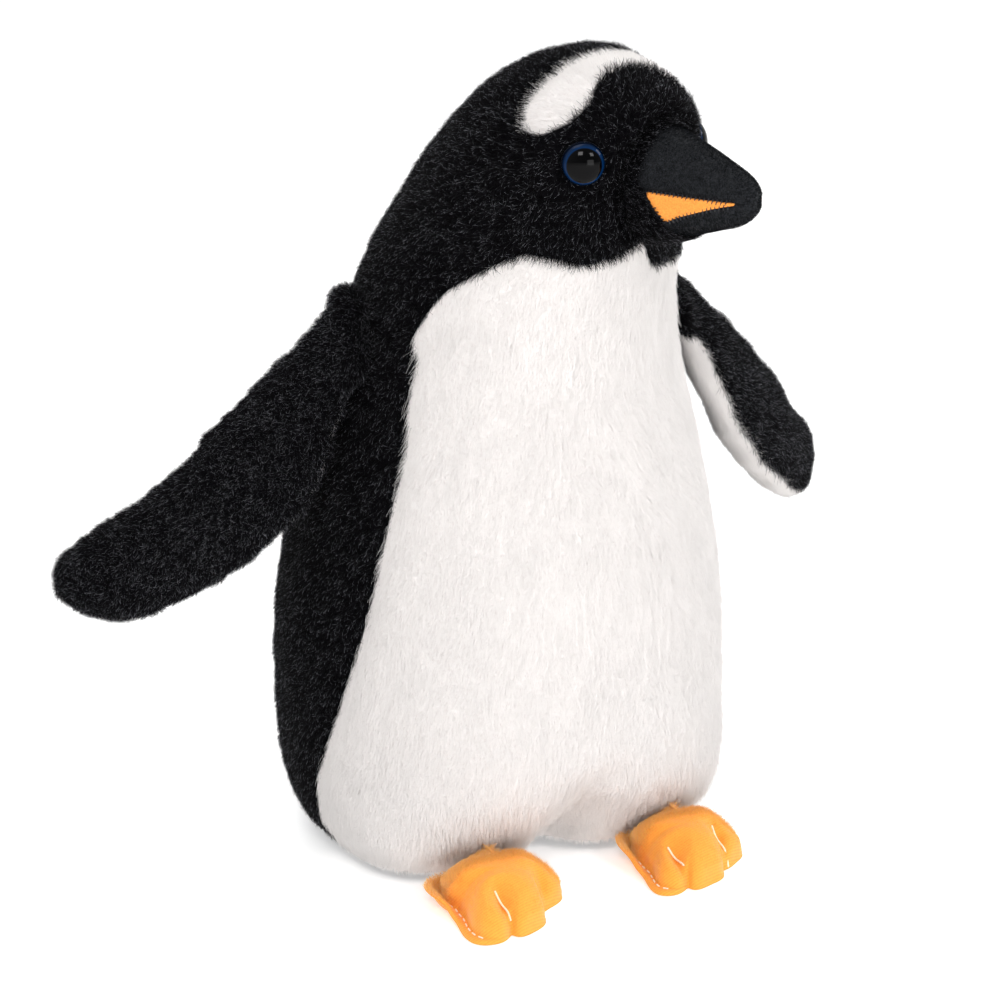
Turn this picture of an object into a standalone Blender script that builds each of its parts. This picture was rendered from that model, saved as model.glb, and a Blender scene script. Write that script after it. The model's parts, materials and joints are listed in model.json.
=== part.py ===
"""Standing plush penguin: sewn fabric panels round soft stuffing, with safety eyes, flippers and feet.

Frame: metres, +Z up. The origin is the middle of the base, on the surface that the penguin stands on.
The penguin faces -Y and its own left side is +X. Its head leans forward and turns a little to its left,
and its feet and the bottom of its body turn a little to its right.
Angles called "around" are measured about the body's upright line, from the front towards the left.
"""

import math

import bmesh
import bpy
import numpy as np
from mathutils import Matrix, Vector

MM = 0.001

# Fabric and clearances
GAP = 0.3 * MM  # room between neighbouring pieces
SKIN = 2.5 * MM  # plush fabric with its pile
THIN_SKIN = 1.5 * MM  # short-nap fabric of the beak and the feet
STUFFING_INSET = 3.8 * MM  # depth of the stuffing under the outside of the plush

# Torso and head: one upright stack of oval rings
HEIGHT = 230 * MM
# Pairs of height and size in millimetres
HALF_WIDTH = ((0, 61), (30, 64), (60, 65), (90, 62), (120, 56), (145, 50), (165, 44), (185, 39), (235, 36))
HALF_DEPTH = ((0, 59), (30, 61), (60, 61), (90, 58), (120, 51), (145, 45), (165, 43), (185, 41))
HALF_DEPTH += ((205, 37), (235, 33))
LEAN = ((0, 0), (90, 0), (120, 1), (145, 3), (165, 8), (185, 19), (205, 31), (235, 39))
BASE_ROLL = 30 * MM  # height of the rounding at the base
BASE_ROLL_IN = 14 * MM  # how far that rounding draws in
FRONT_TUCK = {"left": 0.3, "right": 0.2}  # the front draws in over the feet by this share
TUCK_TOP = 40 * MM
FRONT_SQUARE = 1.4  # and is squarer there than an oval
CROWN_START = 195 * MM  # the crown's rounding starts here
BASE_TURN, HEAD_TURN = math.radians(-7), math.radians(15)  # the body twists from its feet to its head
TURN_START, TURN_END = 70 * MM, 190 * MM
DENT_ROOM = 3 * MM  # the filling keeps further from the dent between the legs
LEG_DENT_DEPTH, LEG_DENT_HALF, LEG_DENT_TOP = 16 * MM, 8.5 * MM, 48 * MM

# Seams between the panels
# Pairs of height in millimetres and angle in degrees
BELLY_SEAM = ((0, 86), (20, 82), (40, 76), (60, 70), (80, 65), (110, 64), (120, 64), (130, 66), (141, 70))
BELLY_SEAM += ((152, 70), (161, 61), (168, 51), (173, 46.5), (178, 46), (240, 46))
NECK_FRONT, NECK_BACK = 176 * MM, 166 * MM
THROAT_PEAK, THROAT_PEAK_HALF = 4 * MM, math.radians(7)
SKIN_BOTTOM = 1.8 * MM
BASE_THICKNESS = 1.5 * MM
PELLETS_TOP = 34 * MM
FLOOR_SHARE = 0.93  # of the filling's lowest ring, where it rests on the base
BODY_STUFFING_TOP = 166 * MM
BELLY_COLUMNS, BACK_COLUMNS = 7, 11  # facets of half the belly and of one side of the back

# White band over the crown: a tapered strip seen from the side, through the whole head
BAND_END_RADIUS, BAND_CROWN_RADIUS = 8.5 * MM, 1.8 * MM
BAND_END = (47 * MM, 217 * MM)  # forward of the base's middle, height
BAND_CROWN = (45 * MM, 240 * MM)

# Beak
BEAK_HEIGHT = 196 * MM
BEAK_LENGTH, BEAK_SUNK = 29 * MM, 5 * MM
BEAK_HALF_HEIGHT, BEAK_HALF_WIDTH = 16 * MM, 14 * MM
BEAK_TIP_RADIUS = 4 * MM
BEAK_FULLNESS, BEAK_TIP_START = 0.8, 0.85  # power of the narrowing, and where the tip's rounding starts
BEAK_DROOP = math.radians(2)
MOUTH_ANGLE = math.radians(91)  # from the top of the beak
PATCH_SPREAD, PATCH_END = math.radians(48), 0.86

# Safety eyes
EYE_AROUND, EYE_HEIGHT = math.radians(42), 203 * MM
EYE_RADIUS, EYE_SINK = 5.7 * MM, 2.2 * MM
EYE_DISC_THICKNESS, EYE_DOME_HEIGHT = 1 * MM, 3.4 * MM
STEM_RADIUS, STEM_LENGTH = 1.9 * MM, 11 * MM
WASHER_TOP, WASHER_THICKNESS = -2.4 * MM, 1.2 * MM

# Flippers, given for the left one
FLIPPER_SEAM_LOW = (math.radians(66), 134 * MM)  # around, height
FLIPPER_SEAM_HIGH = (math.radians(92), 168 * MM)
FLIPPER_CLEAR = 3.8 * MM
FLIPPER_ALONG = Vector((0.678, 0.308, -0.658)).normalized()
FLIPPER_ACROSS = Vector((0.43, 0.52, 0.74)).normalized()
FLIPPER_TWIST_END = 0.45  # the chord turns from the seam's line to its own by this part of the length
FLIPPER_LENGTH, FLIPPER_BEND = 106 * MM, 14 * MM
FLIPPER_BEND_WAY = Vector((0, 0.75, 0.66))
FLIPPER_HALF_CHORD = ((0, 12), (0.1, 15.5), (0.25, 17), (0.5, 15.2), (0.75, 13.5), (1, 12.5))
FLIPPER_HALF_THICKNESS = ((0, 2), (0.15, 5), (0.4, 7), (0.75, 6.5), (1, 5.5))
FLIPPER_TIP = 0.84  # where the rounding of the tip starts

# Feet, given for the left one before it is placed
FOOT_ACROSS = {"left": 34 * MM, "right": 25 * MM}
FOOT_BACK = -38 * MM
FOOT_AHEAD = {"left": -2 * MM, "right": 5 * MM}  # the right foot stands a little ahead
FOOT_SKEW = {"left": 0.2, "right": 0.33}  # the toes on the penguin's left are the shorter ones
FOOT_SLANT = 7.5 * MM  # the back of the foot leans forward under the belly by this much at its top
FOOT_HALF_WIDTH, FOOT_HALF_LENGTH = 19.5 * MM, 16 * MM
FOOT_HEIGHT, SOLE_THICKNESS = 14 * MM, 1.5 * MM
TOE_PITCH, TOE_NOTCH, TOE_CREASE = math.radians(48), 0.1, 0.4
HINGE_HEIGHT = 13 * MM

# Tail
TAIL_LENGTH, TAIL_HALF_WIDTH, TAIL_HALF_THICKNESS = 26 * MM, 14 * MM, 5 * MM
TAIL_HEIGHT, TAIL_CLEAR = 9 * MM, 1.2 * MM

BLACK = ((0.012, 0.011, 0.014), 0.9, 0.0)
WHITE = ((0.83, 0.79, 0.76), 0.9, 0.0)
BEAK_BLACK = ((0.03, 0.033, 0.04), 0.8, 0.0)
ORANGE = ((0.92, 0.36, 0.07), 0.8, 0.0)
STUFFING = ((0.8, 0.8, 0.78), 0.95, 0.0)
PELLETS = ((0.7, 0.68, 0.62), 0.6, 0.0)
EYE_BLACK = ((0.005, 0.008, 0.02), 0.15, 0.0)
CLEAR = ((0.02, 0.02, 0.025), 0.05, 0.0)
WASHER = ((0.85, 0.85, 0.82), 0.5, 0.0)


def clear_scene():
    for obj in list(bpy.data.objects):
        bpy.data.objects.remove(obj, do_unlink=True)


def make_object(name, bm, finish, origin=(0, 0, 0)):
    """Turns a bmesh in world coordinates into a smooth-shaded object whose origin is at the given point."""
    bmesh.ops.remove_doubles(bm, verts=bm.verts, dist=0.002 * MM)
    bmesh.ops.recalc_face_normals(bm, faces=bm.faces)
    if bm.calc_volume(signed=True) < 0:
        bmesh.ops.reverse_faces(bm, faces=bm.faces)
    bmesh.ops.translate(bm, verts=bm.verts, vec=-Vector(origin))
    mesh = bpy.data.meshes.new(name)
    bm.to_mesh(mesh)
    bm.free()
    mesh.shade_smooth()
    mesh.set_sharp_from_angle(angle=math.radians(40))
    obj = bpy.data.objects.new(name, mesh)
    obj.location = origin
    bpy.context.scene.collection.objects.link(obj)
    if finish:
        colour, roughness, metallic = finish
        material = bpy.data.materials.new(name)
        material.use_nodes = True
        shader = material.node_tree.nodes["Principled BSDF"]
        shader.inputs["Base Color"].default_value = (*colour, 1)
        shader.inputs["Roughness"].default_value = roughness
        shader.inputs["Metallic"].default_value = metallic
        material.diffuse_color = (*colour, 1)
        mesh.materials.append(material)
    return obj


def make_cutter(name, bm):
    cutter = make_object(name, bm, None)
    cutter.hide_render = True
    cutter.display_type = "WIRE"
    return cutter


def boolean(obj, cutter, operation):
    modifier = obj.modifiers.new(f"{operation.title()} {cutter.name}", "BOOLEAN")
    modifier.operation = operation
    modifier.object = cutter


def add_grid(bm, points, around):
    """Adds a grid of quads through rows of points, closed round each row if around is true."""
    rows = [[bm.verts.new(point) for point in row] for row in points]
    count = len(rows[0])
    for low, high in zip(rows, rows[1:]):
        for i in range(count if around else count - 1):
            j = (i + 1) % count
            bm.faces.new((low[i], low[j], high[j], high[i]))
    return rows


def join_edges(bm, first, second, around=False):
    count = len(first)
    for i in range(count if around else count - 1):
        j = (i + 1) % count
        bm.faces.new((first[i], first[j], second[j], second[i]))


def between(outer, inner, around=False, pole=False):
    """One closed body between two matching grids. With a pole, the last row of each is a single point."""
    bm = bmesh.new()
    out, ins = add_grid(bm, outer, around), add_grid(bm, inner, around)
    join_edges(bm, out[0], ins[0], around)
    if not pole:
        join_edges(bm, out[-1], ins[-1], around)
    if not around:
        for side in (0, -1):
            join_edges(bm, [row[side] for row in out], [row[side] for row in ins])
    return bm


def stack(rings):
    """A closed body from rings of points, with a flat cap at each end that isn't a single point."""
    bm = bmesh.new()
    rows = add_grid(bm, rings, around=True)
    for row in (rows[0], rows[-1]):
        if (row[0].co - row[1].co).length > 0.01 * MM:
            bm.faces.new(row)
    return bm


def turned(profile, place, sides=24, closed=False):
    """Turns (radius, height) points about the axis of the frame called place."""
    angles = np.arange(sides) * math.tau / sides
    rings = [
        [place @ Vector((r * math.cos(a), r * math.sin(a), h)) for a in angles]
        for r, h in (profile + profile[:1] if closed else profile)
    ]
    if not closed:
        return stack(rings)
    bm = bmesh.new()
    add_grid(bm, rings, around=True)
    return bm


def prism(outline, low, high):
    """An upright prism from (x, y) points."""
    return stack([[(x, y, z) for x, y in outline] for z in (low, high)])


def through(points, x):
    """Value at x of a smooth curve through (x, value) points, as cubic pieces with averaged slopes."""
    xs, ys = np.array(points, float).T
    slopes = np.gradient(ys, xs)
    x = np.clip(x, xs[0], xs[-1])
    i = np.clip(np.searchsorted(xs, x, side="right") - 1, 0, len(xs) - 2)
    width = xs[i + 1] - xs[i]
    t = (x - xs[i]) / width
    rise = (3 - 2 * t) * t**2
    bend_start, bend_end = t * (1 - t) ** 2, t**2 * (t - 1)
    return ys[i] + rise * (ys[i + 1] - ys[i]) + width * (bend_start * slopes[i] + bend_end * slopes[i + 1])


def ease(low, high, x):
    """0 below low, 1 above high, and a smooth rise between."""
    t = np.clip((x - low) / (high - low), 0, 1)
    return (3 - 2 * t) * t**2


def turn_at(z):
    """How far the body has turned to its left at this height."""
    return BASE_TURN * (1 - ease(0, TURN_START, z)) + HEAD_TURN * ease(TURN_START, TURN_END, z)


def with_base(points):
    """Points given for feet that face -Y, turned as the bottom of the body is."""
    sine, cosine = math.sin(BASE_TURN), math.cos(BASE_TURN)
    return points @ np.array([[cosine, sine, 0], [-sine, cosine, 0], [0, 0, 1]])


def skin(around, z):
    """Points on the outside of the torso and head at each angle and height."""
    around, z = np.broadcast_arrays(np.asarray(around, float), np.asarray(z, float))
    low = np.clip(1 - z / BASE_ROLL, 0, 1)
    rolled_in = BASE_ROLL_IN * (1 - np.sqrt(1 - low**2))
    crown = np.sqrt(1 - np.clip((z - CROWN_START) / (HEIGHT - CROWN_START), 0, 1) ** 2)
    half_width = (through(HALF_WIDTH, z / MM) * MM - rolled_in) * crown
    half_depth = (through(HALF_DEPTH, z / MM) * MM - rolled_in) * crown
    lean, turn = through(LEAN, z / MM) * MM, turn_at(z)
    left, ahead = half_width * np.sin(around), half_depth * np.cos(around)
    tuck = 1 - ease(0, TUCK_TOP, z)
    power = 2 + FRONT_SQUARE * tuck * (ahead > 0)
    corner = (np.abs(np.cos(around)) ** power + np.abs(np.sin(around)) ** power) ** (-1 / power)
    leftness = ease(-0.5, 0.5, np.sin(around))
    share = FRONT_TUCK["right"] + (FRONT_TUCK["left"] - FRONT_TUCK["right"]) * leftness
    left, ahead = left * corner, ahead * corner * (1 - share * tuck * (ahead > 0))
    dent = LEG_DENT_DEPTH * np.exp(-((left / LEG_DENT_HALF) ** 2)) * (1 - ease(0, LEG_DENT_TOP, z))
    ahead = ahead - dent * (ahead > 0)
    x = left * np.cos(turn) + ahead * np.sin(turn) + lean * np.sin(turn / 2)
    y = left * np.sin(turn) - ahead * np.cos(turn) - lean * np.cos(turn / 2)
    return np.stack([x, y, z], axis=-1)


def skin_normal(around, z):
    z = np.minimum(z, HEIGHT - 0.05 * MM)
    turn_step, rise_step = 1e-4, 0.01 * MM
    across = skin(around + turn_step, z) - skin(around - turn_step, z)
    up = skin(around, z + rise_step) - skin(around, z - rise_step)
    normal = np.cross(across, up)
    return normal / np.linalg.norm(normal, axis=-1, keepdims=True)


def skin_pair(around, z, depth=SKIN, pole=False):
    """The outside of the skin and the surface under it at the given depth."""
    outer = skin(around, z)
    inner = outer - skin_normal(around, z) * depth
    if pole:
        for grid in (outer, inner):
            grid[-1] = grid[-1].mean(axis=0)
    return outer, inner


def belly_seam(z):
    return np.radians(through(BELLY_SEAM, z / MM))


def neck(around):
    """Height of the seam between the body's panels and the head's, with its peak at the throat."""
    level = NECK_BACK + (NECK_FRONT - NECK_BACK) * (1 + np.cos(around)) / 2
    from_front = np.remainder(around + math.pi, math.tau) - math.pi
    return level + THROAT_PEAK * np.exp(-((from_front / THROAT_PEAK_HALF) ** 2))


def seam_angle(z):
    """Angle that half a gap takes up at this height."""
    return GAP / 2 / (through(HALF_WIDTH, z / MM) * MM)


def build_belly_panel(rows=14):
    across = np.linspace(-1, 1, 2 * BELLY_COLUMNS + 1)[None, :]
    up = np.linspace(0, 1, rows + 1)[:, None]
    top = neck(across * belly_seam(NECK_FRONT)) - GAP / 2
    z = SKIN_BOTTOM + (top - SKIN_BOTTOM) * up
    around = across * (belly_seam(z) - seam_angle(z))
    make_object("belly_panel", between(*skin_pair(around, z)), WHITE)


def build_back_panel(side, rows=14):
    across = np.linspace(0, 1, BACK_COLUMNS + 1)[None, :]
    up = np.linspace(0, 1, rows + 1)[:, None]
    start = belly_seam(NECK_FRONT)
    top = neck(start + (math.pi - start) * across) - GAP / 2
    z = SKIN_BOTTOM + (top - SKIN_BOTTOM) * up
    start, end = belly_seam(z) + seam_angle(z), math.pi - seam_angle(z)
    around = side_sign(side) * (start + (end - start) * across)
    make_object(f"back_panel_{side}", between(*skin_pair(around, z)), BLACK)


def side_sign(side):
    return 1 if side == "left" else -1


def head_rows(around, rows):
    """Heights of the head's rows, from the neck seam to the crown, evenly spaced over the rounding."""
    low = neck(around) + GAP / 2
    return low + (HEIGHT - low) * np.sin(np.linspace(0, math.pi / 2, rows + 1))[:, None]


def build_head_panel(side, cutters, rows=10):
    seam = belly_seam(NECK_FRONT)
    front = np.linspace(0, seam, BELLY_COLUMNS + 1)
    back = np.linspace(seam, math.pi, BACK_COLUMNS + 1)
    around = side_sign(side) * np.concatenate([front, back[1:]])[None, :]
    z = head_rows(around, rows)
    outer, inner = skin_pair(np.broadcast_to(around, z.shape), z, pole=True)
    turn = turn_at(z)
    shift = side_sign(side) * GAP / 2 * np.stack([np.cos(turn), np.sin(turn), 0 * turn], axis=-1)
    panel = make_object(f"head_panel_{side}", between(outer + shift, inner + shift, pole=True), BLACK)
    for cutter in cutters:
        boolean(panel, cutter, "DIFFERENCE")


def band_cutter(name, grow, sides=12):
    """The band seen from the side as a strip round two circles, run through the head from left to right."""
    start, end = Vector(BAND_END), Vector(BAND_CROWN)
    lean = math.atan2(*(end - start).yx)
    tilt = math.asin((BAND_END_RADIUS - BAND_CROWN_RADIUS) / (end - start).length)
    outline = []
    for centre, radius, first, last in (
        (start, BAND_END_RADIUS, math.pi / 2 - tilt, 3 * math.pi / 2 + tilt),
        (end, BAND_CROWN_RADIUS, -math.pi / 2 + tilt, math.pi / 2 - tilt),
    ):
        for angle in np.linspace(first, last, sides):
            way = Vector((math.cos(angle + lean), math.sin(angle + lean)))
            outline.append(centre + way * (radius + grow))
    forward = Vector((math.sin(HEAD_TURN), -math.cos(HEAD_TURN), 0))
    left = Vector((math.cos(HEAD_TURN), math.sin(HEAD_TURN), 0))
    reach = 60 * MM
    side_view = [forward * ahead + Vector((0, 0, z)) for ahead, z in outline]
    return make_cutter(name, stack([[point + left * way for point in side_view] for way in (-reach, reach)]))


def build_crown_band(cutter, columns=32, rows=10):
    around = np.arange(columns)[None, :] * math.tau / columns
    z = head_rows(around, rows)
    outer, inner = skin_pair(np.broadcast_to(around, z.shape), z, pole=True)
    band = make_object("crown_band", between(outer, inner, around=True, pole=True), WHITE)
    boolean(band, cutter, "INTERSECT")


def build_base_panel(sides=48):
    around = np.arange(sides) * math.tau / sides
    rim = skin(around, SKIN_BOTTOM) - skin_normal(around, SKIN_BOTTOM) * SKIN / 2
    make_object("base_panel", prism([(x, y) for x, y, _ in rim], 0, BASE_THICKNESS), BLACK)


def stuffing_slice(name, low, high, finish, columns=32, rows=18):
    """The part of the body's filling between two heights."""
    around = np.arange(columns)[None, :] * math.tau / columns
    start = 3 * MM
    z = start + (HEIGHT - start) * np.sin(np.linspace(0, math.pi / 2, rows + 1))[:, None]
    around, z = np.broadcast_arrays(around, z)
    inner = skin_pair(around, z, depth=STUFFING_INSET, pole=True)[1]
    left = inner[..., 0] * math.cos(BASE_TURN) + inner[..., 1] * math.sin(BASE_TURN)
    in_front = np.clip(np.cos(around), 0, 1) * np.exp(-((left / (2 * LEG_DENT_HALF)) ** 2))
    inner[..., 1] += DENT_ROOM * in_front * (1 - ease(LEG_DENT_TOP / 2, 1.5 * LEG_DENT_TOP, z))
    floor = inner[0] * (FLOOR_SHARE, FLOOR_SHARE, 0)
    floor[:, 2] = BASE_THICKNESS + GAP
    bm = stack([floor, *inner])
    for height, side in ((low, -1), (high, 1)):
        everything = [*bm.verts, *bm.edges, *bm.faces]
        plane = {"plane_co": (0, 0, height), "plane_no": (0, 0, side)}
        bmesh.ops.bisect_plane(bm, geom=everything, dist=1e-7, clear_outer=True, **plane)
        rim = [e for e in bm.edges if e.is_boundary]
        if rim:
            bmesh.ops.edgeloop_fill(bm, edges=rim)
    return make_object(name, bm, finish)


def frame_at(point, axis, up=(0, 0, 1)):
    """A frame at the point with its Z along the axis and its Y as near to up as it can be."""
    z = Vector(axis).normalized()
    x = Vector(up).cross(z).normalized()
    return Matrix.Translation(point) @ Matrix([x, z.cross(x), z]).transposed().to_4x4()


def beak_frame():
    """The beak's frame: Z from its sunk base to its tip, Y towards its top."""
    root = Vector(skin(0, BEAK_HEIGHT))
    forward = Vector((math.sin(HEAD_TURN), -math.cos(HEAD_TURN), 0))
    axis = forward * math.cos(BEAK_DROOP) - Vector((0, 0, 1)) * math.sin(BEAK_DROOP)
    return frame_at(root - axis * BEAK_SUNK, axis)


def beak_points(angle, along, depth=0.0):
    """Points on the beak: angle from its top, along from 0 at the base to 1 at the tip."""
    angle, along = np.broadcast_arrays(np.asarray(angle, float), np.asarray(along, float))
    narrowing = (1 - along) ** BEAK_FULLNESS
    tip = np.sqrt(1 - np.clip((along - BEAK_TIP_START) / (1 - BEAK_TIP_START), 0, 1) ** 2)
    half_height = BEAK_TIP_RADIUS + (BEAK_HALF_HEIGHT - BEAK_TIP_RADIUS) * narrowing - depth
    half_width = BEAK_TIP_RADIUS + (BEAK_HALF_WIDTH - BEAK_TIP_RADIUS) * narrowing - depth
    x, y = half_width * tip * np.sin(angle), half_height * tip * np.cos(angle)
    z = along * (BEAK_LENGTH + BEAK_SUNK - depth)
    points = np.stack([x, y, z], axis=-1)
    frame = np.array(beak_frame())
    return points @ frame[:3, :3].T + frame[:3, 3]


def beak_piece(name, first, last, along, finish, columns=10):
    """A fabric piece of the beak between two angles, given for each step along it."""
    ways = [np.linspace(start, end, columns + 1) for start, end in zip(first, last)]
    angle, along = np.array(ways), along[:, None]
    outer, inner = beak_points(angle, along), beak_points(angle, along, THIN_SKIN)
    closes = along[-1, 0] == 1
    if closes:
        middle = math.cos((first[-1] + last[-1]) / 2)
        for grid in (outer, inner):
            up = Vector(beak_frame().col[1][:3]) * middle
            grid[-1] = grid[-1].mean(axis=0) + np.array(up) * GAP / 2
    make_object(name, between(outer, inner, pole=closes), finish)


def beak_half_gap(along):
    """Angle that half a gap takes up round the beak."""
    return GAP / 2 / (BEAK_HALF_WIDTH + (BEAK_TIP_RADIUS - BEAK_HALF_WIDTH) * along)


def build_beak():
    along = np.sin(np.linspace(0, math.pi / 2, 11))
    half_gap = beak_half_gap(along)
    spread = PATCH_SPREAD * np.clip(1 - along / PATCH_END, 0, 1)
    beak_piece("beak_upper", -MOUTH_ANGLE + half_gap, MOUTH_ANGLE - half_gap, along, BEAK_BLACK)
    lower = MOUTH_ANGLE + spread + half_gap
    beak_piece("beak_lower", lower, math.tau - lower, along, BEAK_BLACK)
    along = np.linspace(0, PATCH_END - 0.06, 9)
    half_gap = beak_half_gap(along)
    spread = PATCH_SPREAD * (1 - along / PATCH_END)
    for side in ("left", "right"):
        sign = -side_sign(side)
        first, last = MOUTH_ANGLE + half_gap, MOUTH_ANGLE + spread - half_gap
        beak_piece(f"beak_patch_{side}", sign * first, sign * last, along, ORANGE, columns=5)


def build_beak_stuffing():
    around = np.arange(20)[None, :] * math.tau / 20
    along = np.sin(np.linspace(0, math.pi / 2, 9))[:, None]
    rings = beak_points(around, along, THIN_SKIN + 2 * GAP)
    rings[-1] = rings[-1].mean(axis=0)
    make_object("beak_stuffing", stack(rings), STUFFING)


def beak_root_cutter():
    """The room that the beak's sunk base takes in the head."""
    grow = 2 * GAP
    radii = (BEAK_HALF_WIDTH + grow, BEAK_HALF_HEIGHT + grow)
    rings = []
    for height in (-grow, 12 * MM):
        ways = np.arange(24) * math.tau / 24
        ring = [Vector((radii[0] * math.sin(a), radii[1] * math.cos(a), height)) for a in ways]
        rings.append([beak_frame() @ point for point in ring])
    return make_cutter("beak_root_cutter", stack(rings))


def eye_frame(side):
    around = side_sign(side) * EYE_AROUND
    normal = Vector(skin_normal(np.array(around), EYE_HEIGHT))
    return frame_at(Vector(skin(around, EYE_HEIGHT)) - normal * EYE_SINK, normal)


def build_eye(side):
    place = eye_frame(side)
    disc = [(0, -STEM_LENGTH), (STEM_RADIUS, -STEM_LENGTH), (STEM_RADIUS, 0), (EYE_RADIUS, 0)]
    disc += [(EYE_RADIUS, EYE_DISC_THICKNESS), (0, EYE_DISC_THICKNESS)]
    make_object(f"eye_disc_{side}", turned(disc, place), EYE_BLACK)
    foot = EYE_DISC_THICKNESS + GAP
    dome = [(0, foot), (EYE_RADIUS, foot)]
    for angle in np.linspace(0.12, 1, 6) * math.pi / 2:
        dome.append((EYE_RADIUS * math.cos(angle), foot + EYE_DOME_HEIGHT * math.sin(angle)))
    make_object(f"eye_dome_{side}", turned(dome, place), CLEAR)
    bore, low = STEM_RADIUS + GAP, WASHER_TOP - WASHER_THICKNESS
    washer = [(bore, low), (EYE_RADIUS, low), (EYE_RADIUS, WASHER_TOP), (bore, WASHER_TOP)]
    make_object(f"eye_washer_{side}", turned(washer, place, closed=True), WASHER)


def eye_cutters(side):
    """The eye's seat in the plush, and the room for its washer and stem in the stuffing."""
    place = eye_frame(side)
    hole, seat = STEM_RADIUS + GAP, EYE_RADIUS + GAP
    inside, outside = -STEM_LENGTH - GAP, 12 * MM
    seat_low, pocket_low = -GAP, WASHER_TOP - WASHER_THICKNESS - GAP
    cutters = []
    for name, low in (("seat", seat_low), ("pocket", pocket_low)):
        profile = [(0, inside), (hole, inside), (hole, low), (seat, low), (seat, outside), (0, outside)]
        cutters.append(make_cutter(f"eye_{name}_cutter_{side}", turned(profile, place)))
    return cutters


def mirrored(points, side):
    return points * np.array([side_sign(side), 1, 1])


def flipper_seam():
    """The middle of the left flipper's seam, which is its hinge, and the seam's upward direction."""
    ends = (FLIPPER_SEAM_LOW, FLIPPER_SEAM_HIGH)
    low, high = (Vector(skin(*end)) + Vector(skin_normal(*end)) * FLIPPER_CLEAR for end in ends)
    return (low + high) / 2, (high - low).normalized()


def flipper_points(across, along, face, depth=0.0):
    """Points on the left flipper: across its chord from -1 to 1, along from root to tip, on one face."""
    across, along = np.broadcast_arrays(np.asarray(across, float), np.asarray(along, float))
    tip = np.sqrt(1 - np.clip((along - FLIPPER_TIP) / (1 - FLIPPER_TIP), 0, 1) ** 2)
    chord = np.maximum(through(FLIPPER_HALF_CHORD, along) * MM - depth, 0) * tip
    thickness = np.maximum(through(FLIPPER_HALF_THICKNESS, along) * MM - depth, 0.3 * MM) * tip
    length = FLIPPER_LENGTH - depth
    bend = -4 * FLIPPER_BEND * along * (1 - along)
    out = GAP / 2 + thickness * np.sqrt(1 - across**2)
    root, seam = flipper_seam()
    twist = ease(0, FLIPPER_TWIST_END, along)[..., None]
    chord_way = np.array(seam) * (1 - twist) + np.array(FLIPPER_ACROSS) * twist
    normal = np.cross(np.array(FLIPPER_ALONG), chord_way)
    normal /= np.linalg.norm(normal, axis=-1, keepdims=True)
    spine = np.array(root) + (length * along)[..., None] * np.array(FLIPPER_ALONG)
    spine = spine + bend[..., None] * np.array(FLIPPER_BEND_WAY)
    return spine + (chord * across)[..., None] * chord_way + (face * out)[..., None] * normal


def build_flipper(side, columns=8, rows=9):
    across = np.sin(np.linspace(-1, 1, columns + 1) * math.pi / 2)[None, :]
    tip = 1 - (1 - FLIPPER_TIP) * np.array([0.5, 0.2, 0.05, 0])
    along = np.concatenate([np.linspace(0, FLIPPER_TIP, rows - 3), tip])[:, None]
    root = mirrored(np.array(flipper_seam()[0]), side)
    for name, face, finish in (("outer", 1, BLACK), ("inner", -1, WHITE)):
        grids = [mirrored(flipper_points(across, along, face, depth), side) for depth in (0, THIN_SKIN)]
        for grid in grids:
            grid[-1] = grid[-1].mean(axis=0)
        make_object(f"flipper_{name}_{side}", between(*grids, pole=True), finish, root)
    depth = THIN_SKIN + 2 * GAP
    along = along * 0.97 + 0.02
    faces = [flipper_points(across, along, face, depth) for face in (1, -1)]
    middle = (faces[0] + faces[1]) / 2
    for grid in faces:
        grid[:, 0], grid[:, -1] = middle[:, 0], middle[:, -1]
    make_object(f"flipper_stuffing_{side}", between(*[mirrored(f, side) for f in faces]), STUFFING, root)


def foot_rim(angle):
    """Outline of the left foot's sole about its middle: angle from the front, as (across, forward)."""
    square = 0.8
    across = FOOT_HALF_WIDTH * np.sign(np.sin(angle)) * np.abs(np.sin(angle)) ** square
    forward = FOOT_HALF_LENGTH * np.sign(np.cos(angle)) * np.abs(np.cos(angle)) ** square
    toes = 1 - ease(1.3, 1.7, np.abs(angle) / TOE_PITCH)
    notch = 1 - TOE_NOTCH * toes * (1 - np.cos(math.tau * angle / TOE_PITCH)) / 2
    taper = 1 - 0.08 * (1 - forward / FOOT_HALF_LENGTH)
    return across * notch * taper, forward * notch


def round_grid(count):
    """A square grid spread over a disc: radius and angle of each point."""
    a, b = np.meshgrid(np.linspace(-1, 1, count), np.linspace(-1, 1, count))
    x, y = a * np.sqrt(1 - b**2 / 2), b * np.sqrt(1 - a**2 / 2)
    return np.hypot(x, y), np.arctan2(x, y)


def foot_points(radius, angle, depth=0.0):
    across, forward = foot_rim(angle)
    size = np.hypot(across, forward)
    shrink = radius * (size - depth) / size
    steep = 2.2 + 4 * ease(1.6, 2.6, np.abs(angle))
    crease = np.exp(-(((np.abs(angle) - TOE_PITCH / 2) / math.radians(8)) ** 2))
    rise = (1 - np.minimum(radius, 1) ** steep) ** 0.5 * (1 - TOE_CREASE * crease * ease(0.2, 0.7, radius))
    low = SOLE_THICKNESS + GAP
    lift = np.maximum(FOOT_HEIGHT - low - depth, 0) * rise
    slant = FOOT_SLANT * lift / FOOT_HEIGHT * ease(-0.6, 1, -forward * radius / FOOT_HALF_LENGTH)
    y = FOOT_BACK - FOOT_HALF_LENGTH - forward * shrink - slant
    return np.stack([across * shrink, y, low + lift], axis=-1)


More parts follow.
